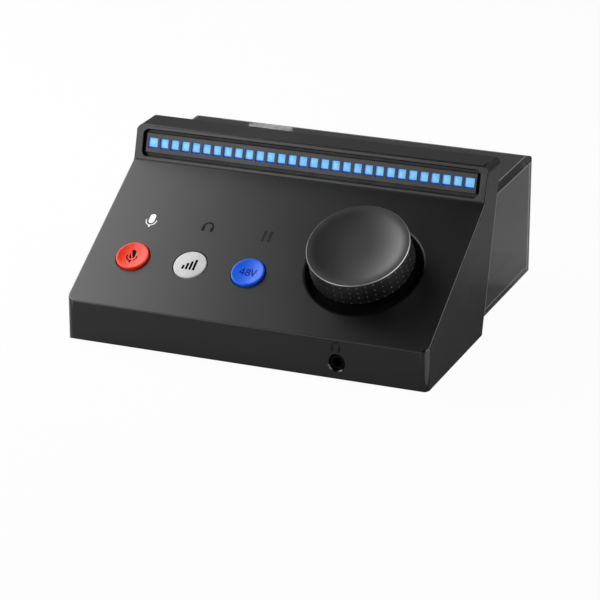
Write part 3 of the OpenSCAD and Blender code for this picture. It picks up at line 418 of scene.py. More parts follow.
def bevelEdges(bm, edges, widthMm, segments=3, clamp=True):
    made = bmesh.ops.bevel(
        bm, geom=[e for e in edges if e.is_valid], offset=widthMm * mm, offset_type="OFFSET",
        segments=segments, profile=0.5, affect="EDGES", clamp_overlap=clamp)
    return made["faces"]


def sharpEdges(bm, degrees=30, convexOnly=True):
    limit = math.radians(degrees)
    joined = [e for e in bm.edges if len(e.link_faces) == 2 and (e.is_convex or not convexOnly)]
    return [e for e in joined if e.calc_face_angle(0) > limit]


def dressNode(node, name, key, slot, bevelMm, reachMm):  # breaks a solid's edges, all or near the back
    bm = cadCopy(node)
    start = -math.inf if reachMm is None else (wedge["depth"] / 2 - reachMm) * mm
    edges = [e for e in sharpEdges(bm) if all(v.co.y > start for v in e.verts)]
    bevelEdges(bm, edges, bevelMm)
    areaNormals(addPiece(name, bm, "chassis", [key], [node]))


# stage: pale floor and soft boxes

stage = {
    "floorSize": 6.0, "floorDrop": 0.05, "floorColours": ("#CECECE", "#D6D6D6"), "white": "#FFFFFF",
    "worldStrength": 0.08, "cameraGlow": 0.97, "mirrorGlow": 0.09,
}
softBoxes = [  # name, place and aim in metres, width, depth, radiance, lights matt surfaces too
    ("over left", (-0.505, 0.03, 0.34), (-0.425, 0.03, 0.0), 0.46, 0.60, 5.3, True),
    ("front left", (-0.75, -1.25, 0.42), (0, 0, 0.05), 0.7, 0.6, 5.6, True),
    ("back wall", (-0.20, 1.45, 0.60), (0, 0, 0.05), 2.5, 0.9, 0.18, True),
    ("right fill", (0.85, -0.10, 0.40), (0, 0, 0.05), 0.9, 0.8, 0.4, True),
    ("right edge light", (0.66, -0.03, 0.58), (0.05, 0, 0.04), 1.3, 0.5, 3.4, False),
    ("right low light", (0.80, -0.30, 0.13), (0.07, 0.02, 0.05), 0.5, 0.2, 3.0, False),
    ("right floor card", (0.122, -0.063, 0.001), (0.123, -0.062, 0.1), 0.06, 0.06, 0.95, False),
    ("cover glint", (-0.098, 0.2, 0.1062), (-0.042, 0.058, 0.0571), 0.02, 0.002, 4.0, False),
]


def makeStage():
    bm = bmesh.new()
    bmesh.ops.create_grid(bm, x_segments=2, y_segments=2, size=stage["floorSize"] / 2)
    bmesh.ops.translate(bm, verts=bm.verts, vec=(0, 0, -stage["floorDrop"] * mm))
    floor = linkMesh("floor", meshFrom(bm, "floor"))
    # matt white paper: light falls on it evenly, the camera sees it nearly white and mirrors see it dim
    material, tree, shader, place = newMaterial("paper white")
    fibre = addNode(tree, "ShaderNodeTexNoise", {"Vector": place, "Scale": perMetre(3.0), "Detail": 2.0})
    ramp = addNode(tree, "ShaderNodeValToRGB", {"Fac": fibre},
                   tuple(zip((0.0, 1.0), stage["floorColours"])))
    feed(tree, shader, {"Base Color": ramp, "Roughness": 0.9})
    seen = addNode(tree, "ShaderNodeLightPath")
    mirror = addNode(tree, "ShaderNodeMath", {
        0: seen.outputs["Is Glossy Ray"], 1: seen.outputs["Is Transmission Ray"]}, operation="MAXIMUM")
    faint = addNode(tree, "ShaderNodeMath", {0: mirror, 1: stage["mirrorGlow"]}, operation="MULTIPLY")
    direct = addNode(tree, "ShaderNodeMath", {
        0: seen.outputs["Is Camera Ray"], 1: stage["cameraGlow"]}, operation="MULTIPLY")
    part = addNode(tree, "ShaderNodeMath", {0: direct, 1: faint}, operation="MAXIMUM")
    glow = addNode(tree, "ShaderNodeEmission", {"Color": srgb(stage["white"]), "Strength": 1.0})
    mixed = addNode(tree, "ShaderNodeMixShader", {0: part, 1: shader, 2: glow})
    out = next(n for n in tree.nodes if n.type == "OUTPUT_MATERIAL")
    feed(tree, out, {"Surface": mixed})
    floor.data.materials.append(material)

    world = bpy.data.worlds.new("studio")
    world.use_nodes = True
    world.node_tree.nodes.clear()
    sky = addNode(world.node_tree, "ShaderNodeBackground", {
        "Color": srgb(stage["white"]), "Strength": stage["worldStrength"]})
    addNode(world.node_tree, "ShaderNodeOutputWorld", {"Surface": sky})
    scene.world = world

    for name, at, aim, width, depth, radiance, matt in softBoxes:
        data = bpy.data.lights.new("soft box " + name, "AREA")
        data.shape, data.size, data.size_y = "RECTANGLE", width, depth
        data.energy = radiance * math.pi * width * depth
        lamp = bpy.data.objects.new(data.name, data)
        lamp.location = at
        lamp.visible_diffuse = matt
        lamp.visible_camera = False
        lamp.rotation_mode = "QUATERNION"
        lamp.rotation_quaternion = (Vector(aim) - Vector(at)).to_track_quat("-Z", "Y")
        scene.collection.objects.link(lamp)


makeStage()
print("stage and lamps set")


# housing pieces taken from the solids, with their edges broken

shellEdges = {"outer": 0.55, "slot": 0.6, "hole": 0.12, "crease": 0.8}
shellZones = {  # where each kind of edge lies, in mm
    "slotUp": (1.0, 13.2), "slotHalf": 72.6, "holeUp": (12, 64), "holeHalf": 70,
    "corner": 3.4, "above": 3, "before": 10,
}
jackHole = {"x": 38.4, "z": 6.7, "radius": 3.2, "chamfer": 0.45}
# the well's place, and how far its painted shade reaches, in mm
dialWell = {"x": 37.8, "s": 35.6, "radius": 23.2, "deep": -4.0, "shallow": -0.1}


def localOf(place):  # takes scene metres to millimetres in a frame
    return (Matrix.Scale(mm, 4) @ place).inverted()


def shellEdgeGroups(bm):
    zone = shellZones
    onSlope, onRidge = localOf(slopeFrame()), localOf(ridgeFrame())
    half = wedge["width"] / 2
    found = {key: [] for key in shellEdges}
    for edge in sharpEdges(bm, 28, False):
        ends = [v.co for v in edge.verts]
        middle = (ends[0] + ends[1]) / 2
        slopeFlat = all(abs((onSlope @ p).z) < nearMm for p in ends)
        ridgeFlat = all(abs((onRidge @ p).z) < nearMm for p in ends)
        upRidge, upSlope = onRidge @ middle, onSlope @ middle
        inSlot = zone["slotUp"][0] < upRidge.y < zone["slotUp"][1] and abs(upRidge.x) < zone["slotHalf"]
        byHoles = zone["holeUp"][0] < upSlope.y < zone["holeUp"][1] and abs(upSlope.x) < zone["holeHalf"]
        if not edge.is_convex:
            if slopeFlat and ridgeFlat:
                found["crease"].append(edge)
        elif ridgeFlat and inSlot:
            found["slot"].append(edge)
        elif slopeFlat and byHoles:
            found["hole"].append(edge)
        elif all(abs(p.x) > (half - zone["corner"]) * mm and p.z > zone["above"] * mm
                 and p.y < zone["before"] * mm for p in ends):
            if slopeFlat or any(abs(p.x) > (half - 0.01) * mm for p in ends):
                found["outer"].append(edge)
    return found


def makeShell():
    bm = cadCopy("front_shell")
    bmesh.ops.dissolve_degenerate(bm, dist=0.05 * mm, edges=bm.edges)
    for key in ("hole", "crease", "slot"):
        bevelEdges(bm, shellEdgeGroups(bm)[key], shellEdges[key])
    for face in bevelEdges(bm, shellEdgeGroups(bm)["outer"], shellEdges["outer"], 3, False):
        face.material_index = 2
    onFront = localOf(frontFrame(jackHole["x"], jackHole["z"]))
    inWell = localOf(slopeFrame(dialWell["x"], dialWell["s"]))
    cornerStart = (wedge["width"] / 2 - shellZones["corner"]) * mm
    for face in bm.faces:  # the well gets painted shade, the front corners and the mouth of the jack are polished
        middle, facing = face.calc_center_median(), face.normal
        turning = facing.y < -0.2 and abs(facing.x) > 0.2 and abs(facing.z) < 0.1
        if turning and abs(middle.x) > cornerStart:
            face.material_index = 2
        spot = inWell @ middle
        sunk = dialWell["deep"] < spot.z < dialWell["shallow"]
        if sunk and math.hypot(spot.x, spot.y) < dialWell["radius"]:
            face.material_index = 1
        spot = onFront @ middle
        away = math.hypot(spot.x, spot.y) - jackHole["radius"]
        if nearMm < away < jackHole["chamfer"] and -jackHole["chamfer"] < spot.z < -nearMm:
            face.material_index = 2
    finishes = ["shell", "well", "shellEdge"]
    areaNormals(addPiece("wedge_shell", bm, "chassis", finishes, ["front_shell"]), 35)


makeShell()


# the rear housing: painted light lines, glowing bands where a flat wall turns into a rounding and along
# its flat sides
cover = {  # outside sizes in mm, and the painted light lines on its edges
    "side": 74.7, "top": 57.1, "low": 6.3, "back": 63.5, "sideRound": 2.6, "backRound": 4.0,
    "roundingArea": 160, "flatSide": 74.6, "rise": 0.3, "line": 0.34,
    "lean": 15.3, "footY": 0.33, "footZ": 1.2,
    "jointLightLine": (0.95, 1.35), "floorLightLine": (4.05, 4.4), "backLightLine": (5.5, 6.5),
}


def cutFaces(bm, faces, spot, way):  # along a plane
    edges = list({e for f in faces for e in f.edges})
    corners = list({v for f in faces for v in f.verts})
    bmesh.ops.bisect_plane(bm, geom=faces + edges + corners, dist=1e-6, plane_co=spot, plane_no=way)


def makeCover():
    c = cover
    bm = cadCopy("rear_cover")
    bands = [  # on the roundings: axis, start, and the axis and height at which the band lies
        (2, c["top"] - c["sideRound"], 0, c["side"] - c["rise"]),
        (0, c["side"] - c["sideRound"], 2, c["top"] - c["rise"]),
        (1, c["back"] - c["backRound"], 2, c["top"] - c["rise"]),
        (0, c["side"] - c["backRound"], 1, c["back"] - c["rise"]),
    ]
    small = c["roundingArea"] * mm * mm
    for axis, start, _, _ in bands:
        for side in ((1, -1) if axis == 0 else (1,)):
            for at in (start, start + c["line"]):
                faces = [f for f in bm.faces if len(f.verts) < 6 and f.calc_area() < small]
                spot, way = Vector(), Vector()
                spot[axis], way[axis] = side * at * mm, 1
                cutFaces(bm, faces, spot, way)
    lean = math.radians(c["lean"])
    lines = [  # on the flat sides: a point, the way across, and where the line starts and ends
        (Vector((0, c["footY"], c["footZ"])), Vector((0, math.cos(lean), -math.sin(lean))), c["jointLightLine"]),
        (Vector((0, 0, c["low"])), Vector((0, 0, 1)), c["floorLightLine"]),
        (Vector((0, c["back"], 0)), Vector((0, -1, 0)), c["backLightLine"]),
    ]
    for foot, way, reach in lines:
        for away in reach:
            faces = [f for f in bm.faces if abs(f.normal.x) > 0.99
                     and abs(f.calc_center_median().x) > c["flatSide"] * mm]
            cutFaces(bm, faces, (foot + way * away) * mm, way)
    # faces on a band or a line glow: painted light lines
    for face in bm.faces:
        spot = face.calc_center_median() / mm
        onLine = any(start < (spot - foot).dot(way) < end for foot, way, (start, end) in lines)
        onBand = any(start < abs(spot[axis]) < start + c["line"] and abs(spot[other]) > height
                     for axis, start, other, height in bands)
        if onBand or (onLine and abs(spot.x) > c["flatSide"]):
            face.material_index = 1
    finishes = ["smoke", "smokeLightLines"]
    areaNormals(addPiece("smoked_cover", bm, "chassis", finishes, ["rear_cover"]))


makeCover()
print("housing dressed")


# dial: dished top with a rolled lip, bright cut rim, and a grip with rows of dots

dial = {
    "x": 37.8, "s": 35.6,
    "topRadius": 20.2, "rimHeight": 13.6, "rimThick": 0.85, "edge": 0.25,
    "seatRadius": 18.0, "seatGap": 0.1, "under": 10.1,
    "bowlFloor": 11.45, "bowlSlope": 13.2, "bowlEnd": 16.1, "bowlEase": 1.5, "rimSlope": 3.0,
    "gripRadius": 20.5, "gripLift": 3.0, "gripWall": 2.4, "shoulder": 0.25, "footRound": 0.4,
    "webUnder": 7.9, "hubRadius": 6.2, "hubUnder": 0.9,
    "segments": 180, "steps": 64,
    "dotRadius": 0.3, "dotSink": 0.16,
    "dotRows": 4, "dotRowGap": 2.7, "dotFirstRow": 3.75, "dotColumns": 39,
}


def dialProfile():  # a bowl that is flat in the middle and eases off towards the rim
    d = dial
    inner = d["topRadius"] - d["edge"]
    wide = inner / d["steps"]
    steep, rimSlope = math.radians(d["bowlSlope"]), math.radians(d["rimSlope"])
    points = [(0.0, d["bowlFloor"])]
    for i in range(d["steps"]):
        r = (i + 0.5) * wide
        slope = steep * min(r / d["bowlEnd"], 1.0) ** d["bowlEase"]
        if r > d["bowlEnd"]:
            part = (r - d["bowlEnd"]) / (inner - d["bowlEnd"])
            slope = rimSlope + (steep - rimSlope) * (0.5 + 0.5 * math.cos(math.pi * part))
        points.append(((i + 1) * wide, points[-1][1] + wide * math.tan(slope)))
    return points


def makeDial():
    d = dial
    place = slopeFrame(d["x"], d["s"], 0)
    top = dialProfile()
    inner, cutTop = top[-1]
    low, high = d["gripLift"], d["rimHeight"] - d["rimThick"]
    cut = [(d["topRadius"], cutTop - d["edge"]), (d["topRadius"], high)]
    under = [(d["seatRadius"], high), (d["seatRadius"], d["under"]), (0, d["under"])]
    bm = lathe(top + cut + under, d["segments"])
    for face in bm.faces:  # the cut rim is a bright band
        middle = face.calc_center_median()
        if math.hypot(middle.x, middle.y) > inner and middle.z > cutTop - d["edge"] + 0.01:
            face.material_index = 1
    mesh = addPiece("dial_top", bm, "dial", ["dialTop", "dialEdge"], ["dial_cap"], place)
    smoothByAngle(mesh, 25)

    wall = d["gripRadius"] - d["gripWall"]
    seat, turn, foot = d["seatRadius"] + d["seatGap"], d["shoulder"], d["footRound"]
    inside = [(0, d["under"]), (seat, d["under"]), (seat, high), (d["topRadius"] - turn, high)]
    outside = arc(d["topRadius"] - turn, high - turn, turn, 90, 0, 4)[1:]
    outside += arc(d["gripRadius"] - foot, low + foot, foot, 0, -90, 5)
    hub = [(wall, low), (wall, d["webUnder"]), (d["hubRadius"], d["webUnder"]),
           (d["hubRadius"], d["hubUnder"]), (0, d["hubUnder"])]
    bm = lathe(inside + outside + hub, d["segments"])
    mesh = addPiece("dial_grip_ring", bm, "dial", ["grip"], ["dial_grip"], place)
    smoothByAngle(mesh, 30)


makeDial()


def newTree(name, inputs):  # a geometry tree with named inputs
    tree = bpy.data.node_groups.new(name, "GeometryNodeTree")
    for label, kind in (("Geometry", "Geometry"),) + inputs:
        tree.interface.new_socket(label, in_out="INPUT", socket_type="NodeSocket" + kind)
    tree.interface.new_socket("Geometry", in_out="OUTPUT", socket_type="NodeSocketGeometry")
    return tree, addNode(tree, "NodeGroupInput").outputs


def endTree(tree, copies, material):  # makes the copies real and gives them their finish
    real = addNode(tree, "GeometryNodeRealizeInstances", {"Geometry": copies})
    done = addNode(tree, "GeometryNodeSetMaterial", {"Geometry": real, "Material": material})
    addNode(tree, "NodeGroupOutput", {0: done})
    return tree


def dotRowsTree():
    # rows of dots round a drum that narrows upwards
    tree, start = newTree("dot rows round a drum", (
        ("Rows", "Int"), ("Columns", "Int"), ("Row gap", "Float"), ("Drum radius", "Float"),
        ("Narrowing", "Float"), ("Dot radius", "Float"), ("Finish", "Material")))
    step = addNode(tree, "ShaderNodeCombineXYZ", {"Z": start["Row gap"]})
    column = addNode(tree, "GeometryNodeMeshLine", {
        "Count": start["Rows"], "Offset": step}, mode="OFFSET")
    ring = addNode(tree, "GeometryNodeMeshCircle", {
        "Vertices": start["Columns"], "Radius": start["Drum radius"]})
    stack = addNode(tree, "GeometryNodeInstanceOnPoints", {"Points": column, "Instance": ring})
    points = addNode(tree, "GeometryNodeRealizeInstances", {"Geometry": stack})
    where = addNode(tree, "GeometryNodeInputPosition")
    height = addNode(tree, "ShaderNodeSeparateXYZ", {0: where})
    less = addNode(tree, "ShaderNodeMath", {
        0: height.outputs["Z"], 1: start["Narrowing"]}, operation="MULTIPLY")
    factor = addNode(tree, "ShaderNodeMath", {0: 1.0, 1: less}, operation="SUBTRACT")
    scale = addNode(tree, "ShaderNodeCombineXYZ", {"X": factor, "Y": factor, "Z": 1.0})
    drawn = addNode(tree, "ShaderNodeVectorMath", {0: where, 1: scale}, operation="MULTIPLY")
    moved = addNode(tree, "GeometryNodeSetPosition", {"Geometry": points, "Position": drawn})
    dot = addNode(tree, "GeometryNodeMeshIcoSphere", {"Radius": start["Dot radius"], "Subdivisions": 2})
    dots = addNode(tree, "GeometryNodeInstanceOnPoints", {"Points": moved, "Instance": dot})
    return endTree(tree, dots, start["Finish"])


def stampTree():
    # one copy of a piece on every point of the mesh, turned alike
    tree, start = newTree("piece on every point", (("Piece", "Object"), ("Finish", "Material")))
    model = addNode(tree, "GeometryNodeObjectInfo", {"Object": start["Piece"]})
    copies = addNode(tree, "GeometryNodeInstanceOnPoints", {
        "Points": start["Geometry"], "Instance": model.outputs["Geometry"]})
    return endTree(tree, copies, start["Finish"])


def socketId(tree, name):
    return next(s.identifier for s in tree.interface.items_tree if s.in_out == "INPUT" and s.name == name)


def grow(name, mesh, tree, values, place):  # runs a tree on a mesh and keeps the result as a plain mesh
    host = linkMesh(name, mesh)
    modifier = host.modifiers.new(tree.name, "NODES")
    modifier.node_group = tree
    for key, value in values.items():
        modifier[socketId(tree, key)] = value
    graph = bpy.context.evaluated_depsgraph_get()
    made = bpy.data.meshes.new_from_object(host.evaluated_get(graph))
    host.modifiers.remove(modifier)
    host.data = made
    made.transform(Matrix.Scale(mm, 4) @ place)
    return host


dotTree = dotRowsTree()
copyTree = stampTree()


def makeDots():
    d = dial
    height = d["rimHeight"] - d["rimThick"] - d["gripLift"]
    taper = (d["gripRadius"] - d["topRadius"]) / height
    radius = d["gripRadius"] - taper * (d["dotFirstRow"] - d["gripLift"]) - d["dotSink"]
    piece = grow("dial_grip_dots", bpy.data.meshes.new("dots"), dotTree, {
        "Rows": d["dotRows"], "Columns": d["dotColumns"], "Row gap": d["dotRowGap"],
        "Drum radius": radius, "Narrowing": taper / radius, "Dot radius": d["dotRadius"],
        "Finish": finish["gripDot"],
    }, slopeFrame(d["x"], d["s"], d["dotFirstRow"]))
    piece.data.shade_smooth()
    placePiece(piece, "dial", [])


makeDots()
print("dial made")


# buttons: two dished caps and a flat one

button = {
    "x": -56.0, "pitch": 24.6, "s": 25.3,
    "radius": 6.75, "proud": 1.1, "flatProud": 0.35, "dish": 0.6, "round": 0.5, "rim": 0.75,
    "flangeRadius": 8.3, "flangeTop": -2.7, "flangeThick": 1.2, "stemRadius": 2.4, "stemEnd": -6.9,
    "segments": 96,
}


def bowlRadius(dish):
    rim = button["radius"] - button["rim"]
    return (rim ** 2 + dish ** 2) / (2 * dish)


def capTop(proud, dish):
    b = button
    edge = arc(b["radius"] - b["round"], proud - b["round"], b["round"], 90, 0, 6)
    if not dish:
        return [(0, proud)] + edge
    ball = bowlRadius(dish)
    lean = math.degrees(math.asin((b["radius"] - b["rim"]) / ball))
    bowl = arc(0, proud - dish + ball, ball, -90, -90 + lean, 14)
    return [(0, proud - dish)] + bowl[1:] + edge


def makeCap(index, name, proud, dish, body, key, node):
    b = button
    stem, flange, top = b["stemRadius"], b["flangeRadius"], b["flangeTop"]
    under = top - b["flangeThick"]
    skirt = [(b["radius"], top), (flange, top), (flange, under),
             (stem, under), (stem, b["stemEnd"]), (0, b["stemEnd"])]
    bm = lathe(capTop(proud, dish) + skirt, b["segments"])
    place = slopeFrame(b["x"] + index * b["pitch"], b["s"])
    smoothByAngle(addPiece(name, bm, body, [key], [node], place), 28)


proud, flat, dish = button["proud"], button["flatProud"], button["dish"]
makeCap(0, "mute_cap_red", proud, dish, "mute_button", "red", "mute_cap")
makeCap(1, "level_cap_white", flat, 0, "level_button", "white", "level_cap")
makeCap(2, "phantom_cap_blue", proud, dish, "phantom_button", "blue", "phantom_cap")
print("buttons made")


# signs: thin printed films that follow the surface under them

sign = {
    "thick": 0.03, "step": 0.004, "fine": 0.9,
    "mic": (-55.4, 44.5), "headphones": (-31.0, 45.3), "bars": (-5.7, 44.5), "headset": (38.1, 13.3),
    "headsetLift": -0.022,
}


def heading(a, b):
    return math.atan2(b[1] - a[1], b[0] - a[0])


def strokeOutline(points, width):  # an even line with round ends
    half, final = width / 2, len(points) - 1
    left, right = [], []
    for i, (x, y) in enumerate(points):
        turn = heading(points[max(i - 1, 0)], points[min(i + 1, final)])
        left.append((x - half * math.sin(turn), y + half * math.cos(turn)))
        right.append((x + half * math.sin(turn), y - half * math.cos(turn)))
    first, last = [math.degrees(heading(*pair)) for pair in (points[:2], points[-2:])]
    endRound = arc(*points[-1], half, last + 90, last - 90, 6)[1:-1]
    startRound = arc(*points[0], half, first - 90, first - 270, 6)[1:-1]
    return left + endRound + right[::-1] + startRound


def barOutline(cx, cy, width, height, r):  # with round corners
    x, y = width / 2 - r, height / 2 - r
    corners = ((x, y, 0), (-x, y, 90), (-x, -y, 180), (x, -y, 270))
    return [p for dx, dy, start in corners for p in arc(cx + dx, cy + dy, r, start, start + 90, 5)]


def voltFigures(width):  # 48V, in even strokes
    four = [[(-1.95, -1.5), (-1.95, 1.5)], [(-1.95, 1.5), (-3.35, -0.55)],
            [(-3.35, -0.55), (-1.35, -0.55)]]
    eight = [arc(0, 0.78, 0.66, 90, 445, 20), arc(0, -0.72, 0.78, 90, 445, 20)]
    vee = [[(1.3, 1.5), (2.3, -1.5)], [(2.3, -1.5), (3.3, 1.5)]]
    return [strokeOutline(line, width) for line in four + eight + vee]


def layFilm(name, outlines, rise, place, body, key, slot, lift=0.0):
    whole = bmesh.new()
    for count, outline in enumerate(outlines):
        bm = bmesh.new()
        bm.faces.new([bm.verts.new((x, y, 0)) for x, y in outline])
        bmesh.ops.remove_doubles(bm, verts=bm.verts, dist=1e-4)
        for _ in range(4):
            bmesh.ops.triangulate(bm, faces=bm.faces)
            coarse = [e for e in bm.edges if e.calc_length() > sign["fine"]]
            bmesh.ops.subdivide_edges(bm, edges=coarse, cuts=1)
        bmesh.ops.triangulate(bm, faces=bm.faces)
        grown = bmesh.ops.extrude_face_region(bm, geom=bm.faces[:])
        upper = {item for item in grown["geom"] if isinstance(item, bmesh.types.BMVert)}
        high = sign["thick"] + sign["step"] * count + lift  # crossing strokes never share a face
        for v in bm.verts:
            v.co.z = rise(v.co.x, v.co.y) + (high if v in upper else -sign["thick"])
        bmesh.ops.recalc_face_normals(bm, faces=bm.faces)
        part = meshFrom(bm, name)
        whole.from_mesh(part)
        bpy.data.meshes.remove(part)
    addPiece(name, whole, body, [key], (), place)


def flatRise(height):
    return lambda x, y: height


def bowlRise(x, y):
    ball = bowlRadius(button["dish"])
    inside = math.sqrt(ball ** 2 - x * x - y * y)
    return min(button["proud"], button["proud"] - button["dish"] + ball - inside)


def micHead(k, x=0.0, y=0.0):
    return barOutline(x, y + 1.1 * k, 2.35 * k, 4.6 * k, 1.175 * k)


def micStand(k, width, x=0.0, y=0.0):  # cradle and stem
    cradle = [(x - 2.15 * k, y + 0.3 * k)] + arc(x, y - 0.1 * k, 2.15 * k, 180, 360, 16)
    cradle += [(x + 2.15 * k, y + 0.3 * k)]
    return [strokeOutline(cradle, width * k),
            strokeOutline([(x, y - 2.4 * k), (x, y - 2.95 * k)], 0.8 * k)]


def headphones(k, band):  # band and two cups
    cups = [barOutline(x * k, -1.2 * k, 1.3 * k, 2.3 * k, 0.45 * k) for x in (-1.85, 1.85)]
    return [strokeOutline(arc(0, 0.1 * k, 1.95 * k, -8, 188, 20), band * k)] + cups


def levelBars():  # four rising bars on one line
    b = {"pitch": 1.5, "first": -2.35, "width": 0.95, "foot": -2.6, "heights": (2.0, 3.2, 4.25, 5.3)}
    return [barOutline(b["first"] + i * b["pitch"], b["foot"] + high / 2, b["width"], high, 0.15)
            for i, high in enumerate(b["heights"])]


def makeSigns():
    b = button
    cap = [slopeFrame(b["x"] + i * b["pitch"], b["s"]) for i in range(3)]
    ground, black = flatRise(0.0), "switch_black"
    mic, front = slopeFrame(*sign["mic"]), frontFrame(*sign["headset"])
    phones, bars = slopeFrame(*sign["headphones"]), slopeFrame(*sign["bars"])
    pair = [barOutline(x, 0, 1.05, 5.4, 0.25) for x in (-1.25, 1.25)]
    boom = strokeOutline([(1.5, -1.7), (1.1, -2.15), (0.2, -2.2)], 0.34)
    mute = [micHead(0.95, -0.2, -0.2)] + micStand(0.95, 0.5, -0.2, -0.2)
    slash = strokeOutline([(-1.6, 2.9), (0.9, -2.9)], 0.55)
    rows = [  # name, outlines, the ground under them, frame, body, ink, slot, lift
        ("sign_mic_head", [micHead(1.0)], ground, mic, "chassis", "inkLit", "led_white"),
        ("sign_mic_stand", micStand(1.0, 0.45), ground, mic, "chassis", "inkSoft", "led_white"),
        ("sign_headphones", headphones(1.0, 0.75), ground, phones, "chassis", "inkDim", black),
        ("sign_two_bars", pair, ground, bars, "chassis", "inkFaint", black),
        ("sign_headset", headphones(0.78, 0.5) + [boom], ground, front, "chassis", "inkFaint", black,
         sign["headsetLift"]),
        ("mute_sign", mute, bowlRise, cap[0], "mute_button", "inkDark", black),
        ("mute_sign_slash", [slash], bowlRise, cap[0], "mute_button", "red", "button_red", sign["thick"]),
        ("level_sign", levelBars(), flatRise(b["flatProud"]), cap[1], "level_button", "inkDark", black),
        ("phantom_sign", voltFigures(0.42), bowlRise, cap[2], "phantom_button", "inkNavy", black),
    ]
    for row in rows:
        layFilm(*row)


makeSigns()
print("signs printed")


# meter: a grey bar with windows, and opal faces set back in them

meter = {
    "count": 28, "pitch": 4.63, "width": 3.5, "endWidth": 4.1, "endGap": 1.13, "height": 4.1, "gap": 0.1,
    "middle": 7.3, "front": -0.4, "face": 1.3, "back": 4.0, "round": 0.12, "shadedStrip": 0.4,
    "barRound": 0.25, "windowRound": 0.1, "slack": 0.05,
}


def makeMeterBar():
    m = meter
    bm = cadCopy("led_panel")
    local = localOf(ridgeFrame())
    last = (m["count"] - 1) / 2 * m["pitch"] + m["width"] / 2 + m["endGap"] + m["endWidth"]

    def inWindows(spot):
        high = m["height"] / 2 + m["slack"]
        return abs(spot.x) < last + m["slack"] and abs(spot.y - m["middle"]) < high

    rim, windows = [], []
    for edge in sharpEdges(bm, 28):
        ends = [local @ v.co for v in edge.verts]
        if all(abs(p.z - m["front"]) < nearMm for p in ends):
            (windows if inWindows((ends[0] + ends[1]) / 2) else rim).append(edge)
    bevelEdges(bm, windows, m["windowRound"], 2)
    bevelEdges(bm, rim, m["barRound"], 3)
    for face in bm.faces:  # grey face, walls with painted blue light from the windows, and the sides in the slot in painted shade
        spot = local @ face.calc_center_median()
        facing = (local.to_3x3() @ face.normal).normalized()
        if spot.z > m["front"] - m["barRound"] - nearMm and facing.z > 0.2:
            face.material_index = 0
        elif inWindows(spot) and abs(facing.z) < 0.5:
            face.material_index = 1
        else:
            face.material_index = 0 if abs(facing.x) > 0.5 else 2
    finishes = ["meterBar", "meterWallBlueLight", "slot"]
    areaNormals(addPiece("meter_bar", bm, "chassis", finishes, ["led_panel"]))


def lensBlock(width, low, high):  # from one height to another within the window
    m = meter
    bm = bmesh.new()
    bmesh.ops.create_cube(bm, size=1)
    bmesh.ops.scale(bm, verts=bm.verts, vec=(width - 2 * m["gap"], high - low, m["back"] - m["face"]))
    bmesh.ops.translate(bm, verts=bm.verts, vec=(0, (low + high) / 2, -(m["face"] + m["back"]) / 2))
    front = [e for e in bm.edges if all(v.co.z > -m["face"] - 0.01 for v in e.verts)]
    bmesh.ops.bevel(bm, geom=front, offset=m["round"], segments=2, profile=0.5, affect="EDGES")
    return bm


def pointsMesh(name, places):
    mesh = bpy.data.meshes.new(name)
    mesh.from_pydata([tuple(p) for p in places], [], [])
    return mesh


def stamp(name, bm, places, turn, key, nodes=(), smooth=50):  # one model on many places in a frame
    model = linkMesh("model", meshFrom(bm, "model"))
    piece = grow(name, pointsMesh(name, places), copyTree, {"Piece": model, "Finish": finish[key]}, turn)
    bpy.data.objects.remove(model)
    smoothByAngle(piece.data, smooth)
    placePiece(piece, "chassis", [], nodes)


def makeLenses():
    m = meter
    rows = [((i - (m["count"] - 1) / 2) * m["pitch"], m["middle"], 0) for i in range(m["count"])]
    last = rows[-1][0] + m["width"] / 2 + m["endGap"] + m["endWidth"] / 2
    ends = [(-last, m["middle"], 0), (last, m["middle"], 0)]
    reach = m["height"] / 2 - m["gap"]
    step = m["shadedStrip"] - reach
    # each lens glows pale above and carries painted shade in its lower strip
    strips = [("lenses", step, reach, "meterBlue"), ("lens_feet", -reach, step, "meterShadedFoot")]
    for name, width, places in (("meter", m["width"], rows), ("meter_end", m["endWidth"], ends)):
        for part, low, high, key in strips:
            stamp(name + "_" + part, lensBlock(width, low, high), places, ridgeFrame(), key,
                  ["led_lenses"])


makeMeterBar()
makeLenses()
print("meter made")


# screws with cross recesses, where they can be seen

screw = {
    "headRadius": 2.3, "headHeight": 1.4, "shankRadius": 1.2,
    "crossArm": 1.35, "crossWidth": 0.62, "crossDepth": 0.85, "crossTaper": 0.6, "cutterOver": 0.2,
}


def crossCutter():
    s = screw
    arm, half, taper = s["crossArm"], s["crossWidth"] / 2, s["crossTaper"]
    above, floor = s["headHeight"] + s["cutterOver"], s["headHeight"] - s["crossDepth"]
    corner = [(arm, -half), (arm, half), (half, half)]
    outline = []
    for c, d in ((1, 0), (0, 1), (-1, 0), (0, -1)):
        outline += [(x * c - y * d, x * d + y * c) for x, y in corner]
    bm = bmesh.new()
    upper = [bm.verts.new((x, y, above)) for x, y in outline]
    lower = [bm.verts.new((x * taper, y * taper, floor)) for x, y in outline]
    bm.faces.new(upper)
    bm.faces.new(lower[::-1])
    for i in range(len(outline)):
        j = (i + 1) % len(outline)
        bm.faces.new((lower[i], lower[j], upper[j], upper[i]))
    bmesh.ops.recalc_face_normals(bm, faces=bm.faces)
    return bm


